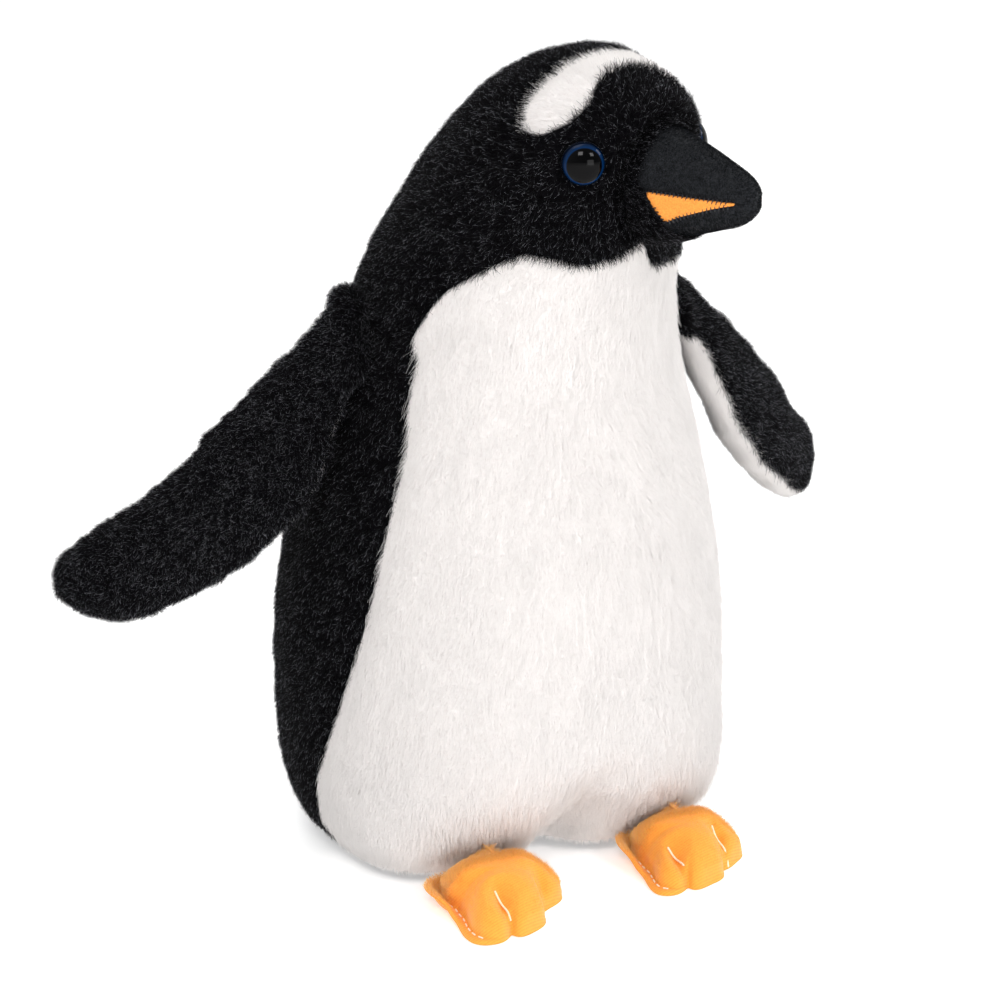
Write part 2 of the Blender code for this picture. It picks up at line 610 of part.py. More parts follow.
def placed_foot(points, side):
    """Points of the left foot about its middle line, put where the foot of this side stands."""
    points = mirrored(points, side)
    in_front = ease(-0.5 * FOOT_HALF_LENGTH, FOOT_HALF_LENGTH, FOOT_BACK - FOOT_HALF_LENGTH - points[..., 1])
    points[..., 1] += FOOT_SKEW[side] * points[..., 0] * in_front
    return with_base(points + np.array([side_sign(side) * FOOT_ACROSS[side], -FOOT_AHEAD[side], 0]))


def build_foot(side):
    radius, angle = round_grid(12)
    hinge = placed_foot(np.array([0, FOOT_BACK - FOOT_SLANT, HINGE_HEIGHT]), side)
    outer, inner = (placed_foot(foot_points(radius, angle, depth), side) for depth in (0, THIN_SKIN))
    make_object(f"foot_top_{side}", between(outer, inner), ORANGE, hinge)
    ways = np.linspace(-math.pi, math.pi, 48, endpoint=False)
    rim = placed_foot(foot_points(np.ones(48), ways), side)
    make_object(f"foot_sole_{side}", prism([(x, y) for x, y, _ in rim], 0, SOLE_THICKNESS), ORANGE, hinge)
    upper = placed_foot(foot_points(radius, angle, THIN_SKIN + 2 * GAP), side)
    lower = upper.copy()
    lower[..., 2] = SOLE_THICKNESS + GAP
    make_object(f"foot_stuffing_{side}", between(upper, lower), STUFFING, hinge)


def tail_points(across, along, face, depth=0.0):
    """Points on the tail: across from -1 to 1, along from the back to the tip, on its top or underside."""
    across, along = np.broadcast_arrays(np.asarray(across, float), np.asarray(along, float))
    narrowing = np.sqrt(1 - along**2)
    x = np.maximum(TAIL_HALF_WIDTH - depth, 0) * narrowing * across
    thickness = np.maximum(TAIL_HALF_THICKNESS * (1 - 0.3 * along) - depth, 0.2 * MM)
    rise = thickness * narrowing * np.sqrt(1 - across**2)
    z = TAIL_HEIGHT * (1 - 0.25 * along) + face * rise
    back = skin(math.pi - np.arcsin(x / (through(HALF_WIDTH, z / MM) * MM - BASE_ROLL_IN)), z)
    back = back[..., 1] * math.cos(BASE_TURN) - back[..., 0] * math.sin(BASE_TURN)
    root = back + TAIL_CLEAR
    tip = root + np.maximum(TAIL_LENGTH - depth, 0)
    return with_base(np.stack([x, root + (tip - root) * along, z], axis=-1))


def build_tail(columns=8, rows=6):
    across = np.sin(np.linspace(-1, 1, columns + 1) * math.pi / 2)[None, :]
    along = np.sin(np.linspace(0, math.pi / 2, rows + 1))[:, None]
    rings = []
    for depth in (0, THIN_SKIN, THIN_SKIN + 2 * GAP):
        top, under = (tail_points(across, along, face, depth) for face in (1, -1))
        rings.append(np.concatenate([top, under[:, -2:0:-1]], axis=1))
        rings[-1][-1] = rings[-1][-1].mean(axis=0)
    make_object("tail_cover", between(rings[0], rings[1], around=True, pole=True), BLACK)
    make_object("tail_stuffing", stack(rings[2]), STUFFING)


def main():
    clear_scene()
    build_base_panel()
    build_belly_panel()
    band_room = band_cutter("band_room_cutter", GAP / 2)
    beak_room = beak_root_cutter()
    head_stuffing = stuffing_slice("head_stuffing", BODY_STUFFING_TOP + GAP, HEIGHT, STUFFING)
    boolean(head_stuffing, beak_room, "DIFFERENCE")
    for side in ("left", "right"):
        seat, pocket = eye_cutters(side)
        build_back_panel(side)
        build_head_panel(side, (band_room, beak_room, seat))
        boolean(head_stuffing, pocket, "DIFFERENCE")
        build_eye(side)
        build_flipper(side)
        build_foot(side)
    build_crown_band(band_cutter("band_cutter", -GAP / 2))
    stuffing_slice("pellet_bag", 0, PELLETS_TOP, PELLETS)
    stuffing_slice("body_stuffing", PELLETS_TOP + GAP, BODY_STUFFING_TOP, STUFFING)
    build_beak()
    build_beak_stuffing()
    build_tail()


main()
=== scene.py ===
"""Looks of the standing plush penguin round its CAD frame: fur, sewn cloth feet, felt on the beak, plastic eyes.

Metres, +Z up. The penguin faces -Y and its own left side is +X.
Soft covers are made from the CAD solids: joined, remeshed, puffed by cloth pressure and given a pile relief.
Strands of fur stand on those covers and ride on the same bodies.
"""

import contextlib
import json
import math

import bmesh
import bpy
import numpy as np
from mathutils import Matrix, Vector
from mathutils.bvhtree import BVHTree


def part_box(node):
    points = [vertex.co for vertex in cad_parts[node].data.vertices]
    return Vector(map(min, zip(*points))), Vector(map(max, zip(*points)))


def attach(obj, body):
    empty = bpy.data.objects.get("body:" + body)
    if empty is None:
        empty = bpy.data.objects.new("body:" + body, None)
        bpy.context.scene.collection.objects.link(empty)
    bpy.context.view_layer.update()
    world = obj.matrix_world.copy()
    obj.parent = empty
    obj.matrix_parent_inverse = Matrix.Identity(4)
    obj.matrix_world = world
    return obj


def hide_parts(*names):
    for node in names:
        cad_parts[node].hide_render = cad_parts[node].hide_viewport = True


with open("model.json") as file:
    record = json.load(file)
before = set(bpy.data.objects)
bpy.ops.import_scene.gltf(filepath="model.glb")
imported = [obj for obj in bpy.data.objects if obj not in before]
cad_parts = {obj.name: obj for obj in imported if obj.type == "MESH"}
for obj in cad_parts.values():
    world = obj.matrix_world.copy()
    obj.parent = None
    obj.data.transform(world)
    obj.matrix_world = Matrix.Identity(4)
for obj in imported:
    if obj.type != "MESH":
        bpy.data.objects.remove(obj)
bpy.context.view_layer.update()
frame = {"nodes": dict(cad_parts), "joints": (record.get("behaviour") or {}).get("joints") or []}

MM = 0.001
SIDES = ("left", "right")

# View
CAMERA_AZIMUTH, CAMERA_ELEVATION = math.radians(-31), math.radians(17)
CAMERA_DISTANCE, CAMERA_LENS = 0.9, 115.7
CAMERA_TARGET = Vector((0, 0, 0.0965))

# Fur
STRAND_POINTS, TIP_SHARE = 4, 0.35  # share of its radius that a strand keeps at its tip
# Painted glints: this share of the black strands is painted grey.
GLINTS = 0.13  # share of the black strands that are grey
PILE_INSET = 1.3 * MM  # how far the woven backing lies under the outside of the pile
TORSO_STRANDS, FLIPPER_STRANDS = (520000, 800000), (230000, 230000)  # white and black
TAIL_STRANDS, BEAK_STRANDS, CHEEK_STRANDS, FOOT_STRANDS = 40000, 60000, 90000, 90000
THIN = 1

WHITE_FUR = (0.95, 0.915, 0.895)
BLACK_FUR = (0.0022, 0.002, 0.0032)


# ---- Mesh helpers ----


def link(obj):
    bpy.context.scene.collection.objects.link(obj)
    return obj


def mesh_object(name, points, faces):
    mesh = bpy.data.meshes.new(name)
    mesh.from_pydata([tuple(p) for p in points], [], [tuple(f) for f in faces])
    mesh.validate()
    mesh.shade_smooth()
    return link(bpy.data.objects.new(name, mesh))


def joined(name, nodes, extra=None):
    """A copy of several CAD nodes as one object."""
    bm = extra or bmesh.new()
    for node in nodes:
        bm.from_mesh(frame["nodes"][node].data)
    mesh = bpy.data.meshes.new(name)
    bm.to_mesh(mesh)
    bm.free()
    return link(bpy.data.objects.new(name, mesh))


@contextlib.contextmanager
def editing(obj):
    """The object's mesh as a bmesh, which is written back at the end."""
    bm = bmesh.new()
    bm.from_mesh(obj.data)
    yield bm
    bm.to_mesh(obj.data)
    bm.free()


def turn_faces_out(obj):
    with editing(obj) as bm:
        bmesh.ops.recalc_face_normals(bm, faces=bm.faces)
    obj.data.shade_smooth()


def add_modifier(obj, kind, **settings):
    modifier = obj.modifiers.new(kind, kind)
    for key, value in settings.items():
        setattr(modifier, key, value)


def apply_modifiers(obj):
    graph = bpy.context.evaluated_depsgraph_get()
    mesh = bpy.data.meshes.new_from_object(obj.evaluated_get(graph))
    obj.modifiers.clear()
    obj.data = mesh


def keep_largest(obj):
    """Removes every island of the mesh but the one with most vertices."""
    with editing(obj) as bm:
        left, islands = set(bm.verts), []
        while left:
            found, edge = set(), [left.pop()]
            while edge:
                vert = edge.pop()
                found.add(vert)
                fresh = {e.other_vert(vert) for e in vert.link_edges} & left
                left -= fresh
                edge.extend(fresh)
            islands.append(found)
        islands.sort(key=len, reverse=True)
        bmesh.ops.delete(bm, geom=[v for island in islands[1:] for v in island], context="VERTS")


def one_skin(name, nodes, voxel, smoothing, inset, extra=None):
    """One closed skin round the given CAD nodes and an extra bmesh, drawn in by inset."""
    obj = joined(name, nodes, extra)
    add_modifier(obj, "REMESH", mode="VOXEL", voxel_size=voxel)
    add_modifier(obj, "SMOOTH", factor=0.5, iterations=smoothing)
    apply_modifiers(obj)
    keep_largest(obj)
    points, normals = vertex_arrays(obj)
    set_points(obj, points - normals * inset)
    return obj


def vertex_arrays(obj):
    count = len(obj.data.vertices)
    points, normals = np.empty(count * 3), np.empty(count * 3)
    obj.data.vertices.foreach_get("co", points)
    obj.data.vertices.foreach_get("normal", normals)
    return points.reshape(-1, 3), normals.reshape(-1, 3)


def set_points(obj, points):
    obj.data.vertices.foreach_set("co", np.ascontiguousarray(points, np.float32).ravel())
    obj.data.update()


def subdivide(obj, levels=1):
    add_modifier(obj, "SUBSURF", levels=levels, render_levels=levels)
    apply_modifiers(obj)


def node_tree(nodes):
    """One search tree of several CAD nodes."""
    points, faces = [], []
    for node in nodes:
        mesh = frame["nodes"][node].data
        start = len(points)
        points += [v.co[:] for v in mesh.vertices]
        faces += [[start + i for i in p.vertices] for p in mesh.polygons]
    return BVHTree.FromPolygons(points, faces)


def distances_to(tree, points):
    return np.array([tree.find_nearest(Vector(p))[3] for p in points])


def node_distances(points, nodes):
    """Distance of each point to each CAD node, with a row for each node."""
    return np.array([distances_to(node_tree([node]), points) for node in nodes])


def node_points(node):
    return vertex_arrays(frame["nodes"][node])[0]


def centre(node):
    low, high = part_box(node)
    return np.array((low + high) / 2)


def noise(points, cell, seed, parts=1):
    """Smooth random values, about -1 to 1, that change over the given length."""
    rng = np.random.default_rng(seed)
    place = (points + 0.4) / cell
    size = int(0.8 / cell) + 3
    wrap = min(size, 64)
    lattice = rng.uniform(-1, 1, (wrap, wrap, wrap, parts))
    corner = np.floor(place).astype(int)
    t = place - corner
    t = t * t * (3 - 2 * t)
    value = np.zeros((len(points), parts))
    for i in (0, 1):
        for j in (0, 1):
            for k in (0, 1):
                weight = np.abs(1 - i - t[:, 0]) * np.abs(1 - j - t[:, 1]) * np.abs(1 - k - t[:, 2])
                at = (corner + (i, j, k)) % wrap
                value += weight[:, None] * lattice[at[:, 0], at[:, 1], at[:, 2]]
    return value if parts > 1 else value[:, 0]


def unit(vectors):
    return vectors / np.maximum(np.linalg.norm(vectors, axis=-1, keepdims=True), 1e-9)


def ease(low, high, x):
    t = np.clip((x - low) / (high - low), 0, 1)
    return (3 - 2 * t) * t**2


def set_attribute(data, name, values, kind="FLOAT", field="value", domain="POINT"):
    attribute = data.attributes.get(name) or data.attributes.new(name, kind, domain)
    attribute.data.foreach_set(field, np.ascontiguousarray(values, np.float32).ravel())


def read_attribute(obj, name):
    attribute = obj.data.attributes[name]
    values = np.empty(len(attribute.data))
    attribute.data.foreach_get("value", values)
    return values


# ---- Materials ----


def new_material(name, **values):
    """A material, its node tree and its shader. values go to the shader's sockets, with _ for each space."""
    material = bpy.data.materials.new(name)
    material.use_nodes = True
    tree = material.node_tree
    shader = tree.nodes["Principled BSDF"]
    for socket, value in values.items():
        shader.inputs[socket.replace("_", " ")].default_value = value
    return material, tree, shader


def add(tree, kind, **settings):
    node = tree.nodes.new("ShaderNode" + kind)
    for key, value in settings.items():
        if key in node.inputs:
            node.inputs[key].default_value = value
        else:
            setattr(node, key, value)
    return node


def wire(tree, source, output, target, socket):
    tree.links.new(source.outputs[output], target.inputs[socket])


def map_range(tree, low, high, to_low=0.0, to_high=1.0):
    node = add(tree, "MapRange")
    for name, value in (("From Min", low), ("From Max", high), ("To Min", to_low), ("To Max", to_high)):
        node.inputs[name].default_value = value
    return node


def colour_ramp(tree, *stops):
    """A ramp of (position, colour) stops, in order."""
    node = add(tree, "ValToRGB")
    elements = node.color_ramp.elements
    for element, (position, colour) in zip(elements, stops):
        element.position, element.color = position, (*colour, 1)
    for position, colour in stops[2:]:
        elements.new(position).color = (*colour, 1)
    return node


def noise_node(tree, scale, detail=3.0):
    coordinates = add(tree, "TexCoord")
    texture = add(tree, "TexNoise", Scale=scale, Detail=detail)
    wire(tree, coordinates, "Object", texture, "Vector")
    return texture


def add_bump(tree, shader, texture, strength, distance):
    bump = add(tree, "Bump", Strength=strength, Distance=distance)
    wire(tree, texture, "Fac", bump, "Height")
    wire(tree, bump, "Normal", shader, "Normal")


# A strand's tint lifts from painted shade at its root to full at its tip; on the black strands the lit tips are
# painted glints.
ROOT_SHADE_SPAN = (0.65, 0.95)  # shares of a strand's length between which it lightens


def strand_material(name, roughness, specular, normal_share, root_shade=1.0):
    """Fur strands: their own tint, with painted shade towards the root, lit partly as the surface that they stand
    on.
    """
    material, tree, shader = new_material(name, Roughness=roughness, Specular_IOR_Level=specular)
    tint = add(tree, "Attribute", attribute_name="tint")
    along = add(tree, "HairInfo")
    # Painted shade: towards the root the tint is scaled down to root_shade.
    shade = map_range(tree, *ROOT_SHADE_SPAN, root_shade)
    wire(tree, along, "Intercept", shade, "Value")
    scaled = add(tree, "VectorMath", operation="SCALE")
    wire(tree, tint, "Color", scaled, 0)
    wire(tree, shade, "Result", scaled, "Scale")
    wire(tree, scaled, "Vector", shader, "Base Color")
    ground = add(tree, "Attribute", attribute_name="ground")
    own = add(tree, "NewGeometry")
    mix = add(tree, "Mix", data_type="VECTOR", Factor=normal_share)
    wire(tree, own, "Normal", mix, 4)
    wire(tree, ground, "Vector", mix, 5)
    wire(tree, mix, 1, shader, "Normal")
    return material


# ---- Fur ----


def fur(name, cover, body, count, seed, grow, material):
    """Strands all over a cover, as grow says for each root. Its last answer is whether the root is kept."""
    rng = np.random.default_rng(seed)
    mesh = cover.data
    mesh.calc_loop_triangles()
    corners = np.empty(len(mesh.loop_triangles) * 3, np.int64)
    mesh.loop_triangles.foreach_get("vertices", corners)
    corners = corners.reshape(-1, 3)
    points, normals = vertex_arrays(cover)
    a, b, c = (points[corners[:, i]] for i in range(3))
    area = np.linalg.norm(np.cross(b - a, c - a), axis=1)
    chosen = rng.choice(len(corners), count, p=area / area.sum())
    u, v = rng.random((2, count))
    flip = u + v > 1
    u[flip], v[flip] = 1 - u[flip], 1 - v[flip]
    weights = np.stack([1 - u - v, u, v], axis=1)
    corners = corners[chosen]
    root = (points[corners] * weights[..., None]).sum(axis=1)
    normal = unit((normals[corners] * weights[..., None]).sum(axis=1))
    length, lift, lean, comb, tint, radius, keep = grow(root, normal, rng, corners, weights)
    root, normal, length, lift, lean, comb, tint, radius = (
        x[keep] for x in (root, normal, length, lift, lean, comb, tint, radius)
    )
    comb = unit(comb - normal * (comb * normal).sum(axis=1, keepdims=True))
    step = np.linspace(0, 1, STRAND_POINTS)[None, :, None]
    length, lift, lean = (x[:, None, None] for x in (length, lift, lean))
    up = normal[:, None, :] * lift * (step - 0.3 * step**2)
    over = comb[:, None, :] * lean * (0.4 * step + 0.6 * step**2)
    strands = root[:, None, :] + length * (up + over)
    count = len(strands)
    data = bpy.data.hair_curves.new(name)
    data.add_curves([STRAND_POINTS] * count)
    data.position_data.foreach_set("vector", np.ascontiguousarray(strands, np.float32).ravel())
    set_attribute(data, "radius", np.linspace(1, TIP_SHARE, STRAND_POINTS)[None, :] * radius[:, None])
    set_attribute(data, "tint", np.hstack([tint, np.ones((count, 1))]), "FLOAT_COLOR", "color", "CURVE")
    set_attribute(data, "ground", normal, "FLOAT_VECTOR", "vector", "CURVE")
    data.materials.append(material)
    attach(link(bpy.data.objects.new(name, data)), body)


# ---- Stage ----

ROOM_LIGHT = (0.3, 0.9)  # of the dark front and the white back of the studio
ROOM_SPAN = (-0.9, 0.5)  # where the light changes, from front to back
FLOOR_GLOW = 0.4
FLOOR_HALF = 6
LAMP_AIM = Vector((0, 0, 0.12))
LAMPS = (  # name, place, size and watts
    ("key_softbox", (-0.75, -1.0, 1.1), 0.45, 10.0),
    ("low_softbox", (0.0, -1.25, 0.12), 0.5, 3.2),
    ("fill_softbox", (0.25, -1.3, 0.9), 0.35, 5.8),
    ("side_softbox", (1.2, -0.4, 0.9), 0.5, 7.5),
    ("top_softbox", (-0.2, 0.4, 1.4), 0.8, 5),
)


def build_stage():
    scene = bpy.context.scene
    scene.view_settings.view_transform = "Standard"
    world = bpy.data.worlds.new("studio")
    world.use_nodes = True
    tree = world.node_tree
    background = tree.nodes["Background"]
    background.inputs["Color"].default_value = (1, 1, 1, 1)
    way = add(tree, "TexCoord")
    parts = add(tree, "SeparateXYZ")
    wire(tree, way, "Generated", parts, "Vector")
    strength = map_range(tree, *ROOM_SPAN, *ROOM_LIGHT)
    wire(tree, parts, "Y", strength, "Value")
    wire(tree, strength, "Result", background, "Strength")
    scene.world = world
    far = FLOOR_HALF
    corners = [(-far, -far, 0), (far, -far, 0), (far, far, 0), (-far, far, 0)]
    floor = mesh_object("studio_floor", corners, [(0, 1, 2, 3)])
    grey, white = (0.86, 0.86, 0.86, 1), (1, 1, 1, 1)
    material, _, _ = new_material(
        "studio_floor", Base_Color=grey, Roughness=0.9, Emission_Color=white, Emission_Strength=FLOOR_GLOW
    )
    floor.data.materials.append(material)
    for name, place, size, power in LAMPS:
        lamp = bpy.data.lights.new(name, "AREA")
        lamp.size, lamp.energy = size, power
        obj = link(bpy.data.objects.new(name, lamp))
        obj.location = place
        obj.rotation_euler = (Vector(place) - LAMP_AIM).to_track_quat("Z", "Y").to_euler()


def build_camera():
    level = math.cos(CAMERA_ELEVATION)
    back = Vector((math.sin(CAMERA_AZIMUTH) * level, -math.cos(CAMERA_AZIMUTH) * level, math.sin(CAMERA_ELEVATION)))
    camera = bpy.data.cameras.new("camera")
    camera.lens, camera.sensor_width = CAMERA_LENS, 36
    obj = link(bpy.data.objects.new("camera", camera))
    obj.location = CAMERA_TARGET + back * CAMERA_DISTANCE
    obj.rotation_euler = back.to_track_quat("Z", "Y").to_euler()
    bpy.context.scene.camera = obj


# ---- Torso ----

BEAK_TURN = math.radians(15)  # towards the penguin's left
BEAK_SHELLS = ("beak_upper", "beak_lower", "beak_patch_left", "beak_patch_right")
# How far the chin's black pile reaches down over the white, by the way from the beak's middle to the right.
CHIN_SIDE = np.array((-46, -24, -12, -8, -4, 2, 12, 22, 34, 43, 52, 63)) * MM
CHIN_REACH = np.array((0, 5.5, 6, 4.5, 1.2, 1.2, 2.2, -1.5, -7.5, -3.5, -1.2, 0)) * MM
WHITE_NODES = ("belly_panel", "crown_band")
BLACK_NODES = ("back_panel_left", "back_panel_right", "head_panel_left", "head_panel_right", "base_panel")
TORSO_FILLING = ("body_stuffing", "head_stuffing", "pellet_bag")
PUFF_FRAMES = 20


def puff(obj, pinned, pressure, cap):
    """Blows a cover out by cloth pressure between its seams, where it is pinned, by no more than cap."""
    group = obj.vertex_groups.new(name="seams")
    for index, weight in enumerate(pinned):
        group.add([index], float(weight), "REPLACE")
    rest, _ = vertex_arrays(obj)
    cloth = obj.modifiers.new("Cloth", "CLOTH")
    cloth.settings.quality = 5
    cloth.settings.use_pressure = True
    cloth.settings.uniform_pressure_force = pressure
    cloth.settings.vertex_group_mass = group.name
    cloth.settings.effector_weights.gravity = 0
    cloth.point_cache.frame_end = PUFF_FRAMES
    scene = bpy.context.scene
    for step in range(1, PUFF_FRAMES + 1):
        scene.frame_set(step)
    blown = obj.evaluated_get(bpy.context.evaluated_depsgraph_get())
    move = vertex_arrays(blown)[0] - rest
    size = np.linalg.norm(move, axis=1, keepdims=True)
    obj.modifiers.clear()
    obj.vertex_groups.clear()
    scene.frame_set(1)
    set_points(obj, rest + move * np.minimum(1, cap / np.maximum(size, 1e-9)))


def black_overhang(points):
    """How far the black pile reaches over the white: down over the chin and in at the front of the crown band."""
    forward = np.array((math.sin(BEAK_TURN), -math.cos(BEAK_TURN), 0))
    ahead = points @ forward
    side = (points - centre("beak_upper")) @ np.cross(forward, (0, 0, 1))
    height = points[:, 2]
    reach = np.interp(side, CHIN_SIDE, CHIN_REACH)
    low = 162 * MM - 14 * MM * ease(16 * MM, 32 * MM, side)
    chin = reach * ease(low, low + 6 * MM, height) * ease(202 * MM, 192 * MM, height) * ease(5 * MM, 15 * MM, ahead)
    crown = ease(200 * MM, 205 * MM, height) * ease(42 * MM, 50 * MM, ahead)
    return chin + 3.5 * MM * crown


def build_torso():
    nodes = WHITE_NODES + BLACK_NODES + TORSO_FILLING
    cover = one_skin("torso_plush", nodes, voxel=3.4 * MM, smoothing=4, inset=PILE_INSET + 0.8 * MM)
    points, _ = vertex_arrays(cover)
    distances = node_distances(points, WHITE_NODES + BLACK_NODES)
    first, second = np.sort(distances, axis=0)[:2]
    seam = np.exp(-(((second - first) / (3 * MM)) ** 2))
    base = ease(6 * MM, 1 * MM, points[:, 2])
    puff(cover, np.clip(np.maximum(seam, base), 0, 1), pressure=3.0, cap=1.6 * MM)
    white = distances[2:].min(axis=0) - distances[:2].min(axis=0) - black_overhang(points)
    set_attribute(cover.data, "white", white)
    set_attribute(cover.data, "seam", seam)
    subdivide(cover, 2)
    seam, white = read_attribute(cover, "seam"), read_attribute(cover, "white")
    points, normals = vertex_arrays(cover)
    tufts = noise(points * (1, 1, 0.55), 2.2 * MM, 11) + 0.6 * noise(points * (1, 1, 0.6), 1.1 * MM, 12)
    lumps = noise(points, 22 * MM, 13) * 0.5 * MM
    upright = ease(2 * MM, 5 * MM, points[:, 2])
    relief = 0.16 * MM * tufts * upright - 0.5 * MM * seam + lumps * upright
    set_points(cover, points + normals * relief[:, None])
    cover.data.materials.append(pile_material("torso_pile"))
    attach(cover, "torso")
    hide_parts(*WHITE_NODES, *BLACK_NODES, *TORSO_FILLING)
    return cover


def pile_material(name):
    """Short backing pile under the strands: white or black by panel, with a fine mottled nap."""
    material, tree, shader = new_material(name, Roughness=0.9, Specular_IOR_Level=0.1)
    panel = add(tree, "Attribute", attribute_name="white")
    fleck = noise_node(tree, 900.0, 2.0)
    edge = map_range(tree, -0.5 * MM, 0.5 * MM)
    wire(tree, panel, "Fac", edge, "Value")
    black = colour_ramp(tree, (0.45, BLACK_FUR), (0.75, (0.008, 0.008, 0.0095)))
    white = colour_ramp(tree, (0.3, (0.84, 0.79, 0.77)), (0.6, WHITE_FUR))
    mix = add(tree, "Mix", data_type="RGBA")
    wire(tree, edge, "Result", mix, "Factor")
    for ramp, socket in ((black, 6), (white, 7)):
        wire(tree, fleck, "Fac", ramp, "Fac")
        wire(tree, ramp, "Color", mix, socket)
    wire(tree, mix, 2, shader, "Base Color")
    add_bump(tree, shader, fleck, 0.5, 0.6 * MM)
    return material


def interpolated(values, corners, weights):
    return (values[corners] * weights).sum(axis=1)


def two_tone_fur(cover, body, counts, seed, grow, pale, dark):
    """White strands and black strands. grow is told last which of them it grows."""
    for colour, white, material, count in zip(("white", "black"), (True, False), (pale, dark), counts):
        fur(
            f"{body}_fur_{colour}", cover, body, count // THIN, seed + white,
            lambda *root, white=white: grow(*root, white), material,
        )


def strand_tints(white, rng):
    """Nearly white or nearly black, each strand a little different, and some black ones grey as painted glints."""
    count = len(white)
    shade = rng.normal(1, 0.03, (count, 1))
    pale = np.array(WHITE_FUR) * np.clip(shade, 0.9, 1.04)
    dark = np.array(BLACK_FUR) * rng.lognormal(0, 0.5, (count, 1))
    # Painted glints: grey strands among the black ones.
    glint = rng.random(count) < GLINTS
    dark[glint] = rng.uniform(0.03, 0.3, (glint.sum(), 1)) * (0.97, 0.98, 1.08)
    return np.where(white[:, None], pale, dark)


def build_torso_fur(cover, pale, dark):
    white_field = read_attribute(cover, "white")
    beak, beak_root = centre("beak_stuffing"), centre("beak_upper")
    eyes = [centre(f"eye_dome_{side}") for side in SIDES]
    beak_tree = node_tree(BEAK_SHELLS)

    def grow(root, normal, rng, corners, weights, wants_white):
        count = len(root)
        field = interpolated(white_field, corners, weights) + rng.normal(0, 0.35 * MM, count)
        white = field > 0
        head = ease(0.16, 0.19, root[:, 2])
        down = np.array([0, 0, -1.0])
        comb = down * (1 - 0.75 * head)[:, None] + unit(root - beak) * (0.9 * head)[:, None]
        comb = comb + 0.35 * noise(root, 9 * MM, 21, 3)
        comb = comb + rng.normal(0, 1, (count, 3)) * np.where(white, 0.16, 0.9)[:, None]
        length = np.where(white, 4.4 - 0.9 * head, 3.5) * MM * rng.uniform(0.7, 1.15, count)
        length *= 1 + 0.22 * noise(root, 2.6 * MM, 23) * ~white
        eye = np.min([np.linalg.norm(root - e, axis=1) for e in eyes], axis=0)
        length *= 0.7 + 0.3 * ease(5 * MM, 12 * MM, eye)
        near_beak = np.ones(count)
        close = np.linalg.norm(root - beak_root, axis=1) < 45 * MM
        near_beak[close] = distances_to(beak_tree, root[close])
        over_feet = feet_near(root) * ease(8 * MM, 13 * MM, root[:, 2]) * ease(34 * MM, 24 * MM, root[:, 2])
        length *= 1 + 0.4 * over_feet
        low = ease(8 * MM, 1 * MM, root[:, 2])
        length *= 1 - 0.55 * low
        lift = np.where(white, 0.5, 0.85) + rng.normal(0, 0.1, count) + 0.1 * noise(root, 7 * MM, 22)
        lean = np.where(white, 0.75, 0.45) + rng.normal(0, 0.1, count)
        lean *= 1 - 0.6 * low
        keep = (white == wants_white) & (normal[:, 2] > -0.75) & (root[:, 2] > 1.8 * MM)
        keep &= (eye > 5.4 * MM) & (near_beak > 0.3 * MM)
        radius = np.where(white, 0.042, 0.05) * MM * rng.uniform(0.7, 1.3, count)
        return length, lift, lean, comb, strand_tints(white, rng), radius, keep

    two_tone_fur(cover, "torso", TORSO_STRANDS, 31, grow, pale, dark)


def feet_near(points):
    """1 over and beside the feet, falling to 0 at 34 mm from their middles."""
    tops = [node_points(f"foot_top_{side}") for side in SIDES]
    away = [np.linalg.norm(points[:, :2] - top.mean(axis=0)[:2], axis=1) for top in tops]
    return ease(34 * MM, 22 * MM, np.min(away, axis=0))


# ---- Flippers ----


def joint_of(body):
    joint = next(j for j in frame["joints"] if j["child"] == body)
    return Vector(joint["pos_m"]), Vector(joint["axis"]).normalized()


def capsule(start, end, radius, sides=16, rings=6):
    """A bmesh rod with round ends."""
    bm = bmesh.new()
    axis = (end - start).normalized()
    turn = axis.to_track_quat("Z", "Y").to_matrix()
    rows = []
    for centre_point, first, last in ((start, -90, 0), (end, 0, 90)):
        for angle in np.radians(np.linspace(first, last, rings)):
            around = np.arange(sides) * math.tau / sides
            r, h = radius * math.cos(angle), radius * math.sin(angle)
            rows.append([centre_point + turn @ Vector((r * math.cos(a), r * math.sin(a), h)) for a in around])
    verts = [[bm.verts.new(p) for p in row] for row in rows]
    for low, high in zip(verts, verts[1:]):
        for i in range(sides):
            j = (i + 1) % sides
            bm.faces.new((low[i], low[j], high[j], high[i]))
    bm.faces.new(list(reversed(verts[0])))
    bm.faces.new(verts[-1])
    bmesh.ops.remove_doubles(bm, verts=bm.verts, dist=1e-6)
    return bm


ROOT_ROLL_RADIUS, ROOT_ROLL_HALF = 4.4 * MM, 9 * MM
SEAM_SHIFT = {"left": 3.0 * MM, "right": -1.0 * MM}  # how far the white lining shows round the edge


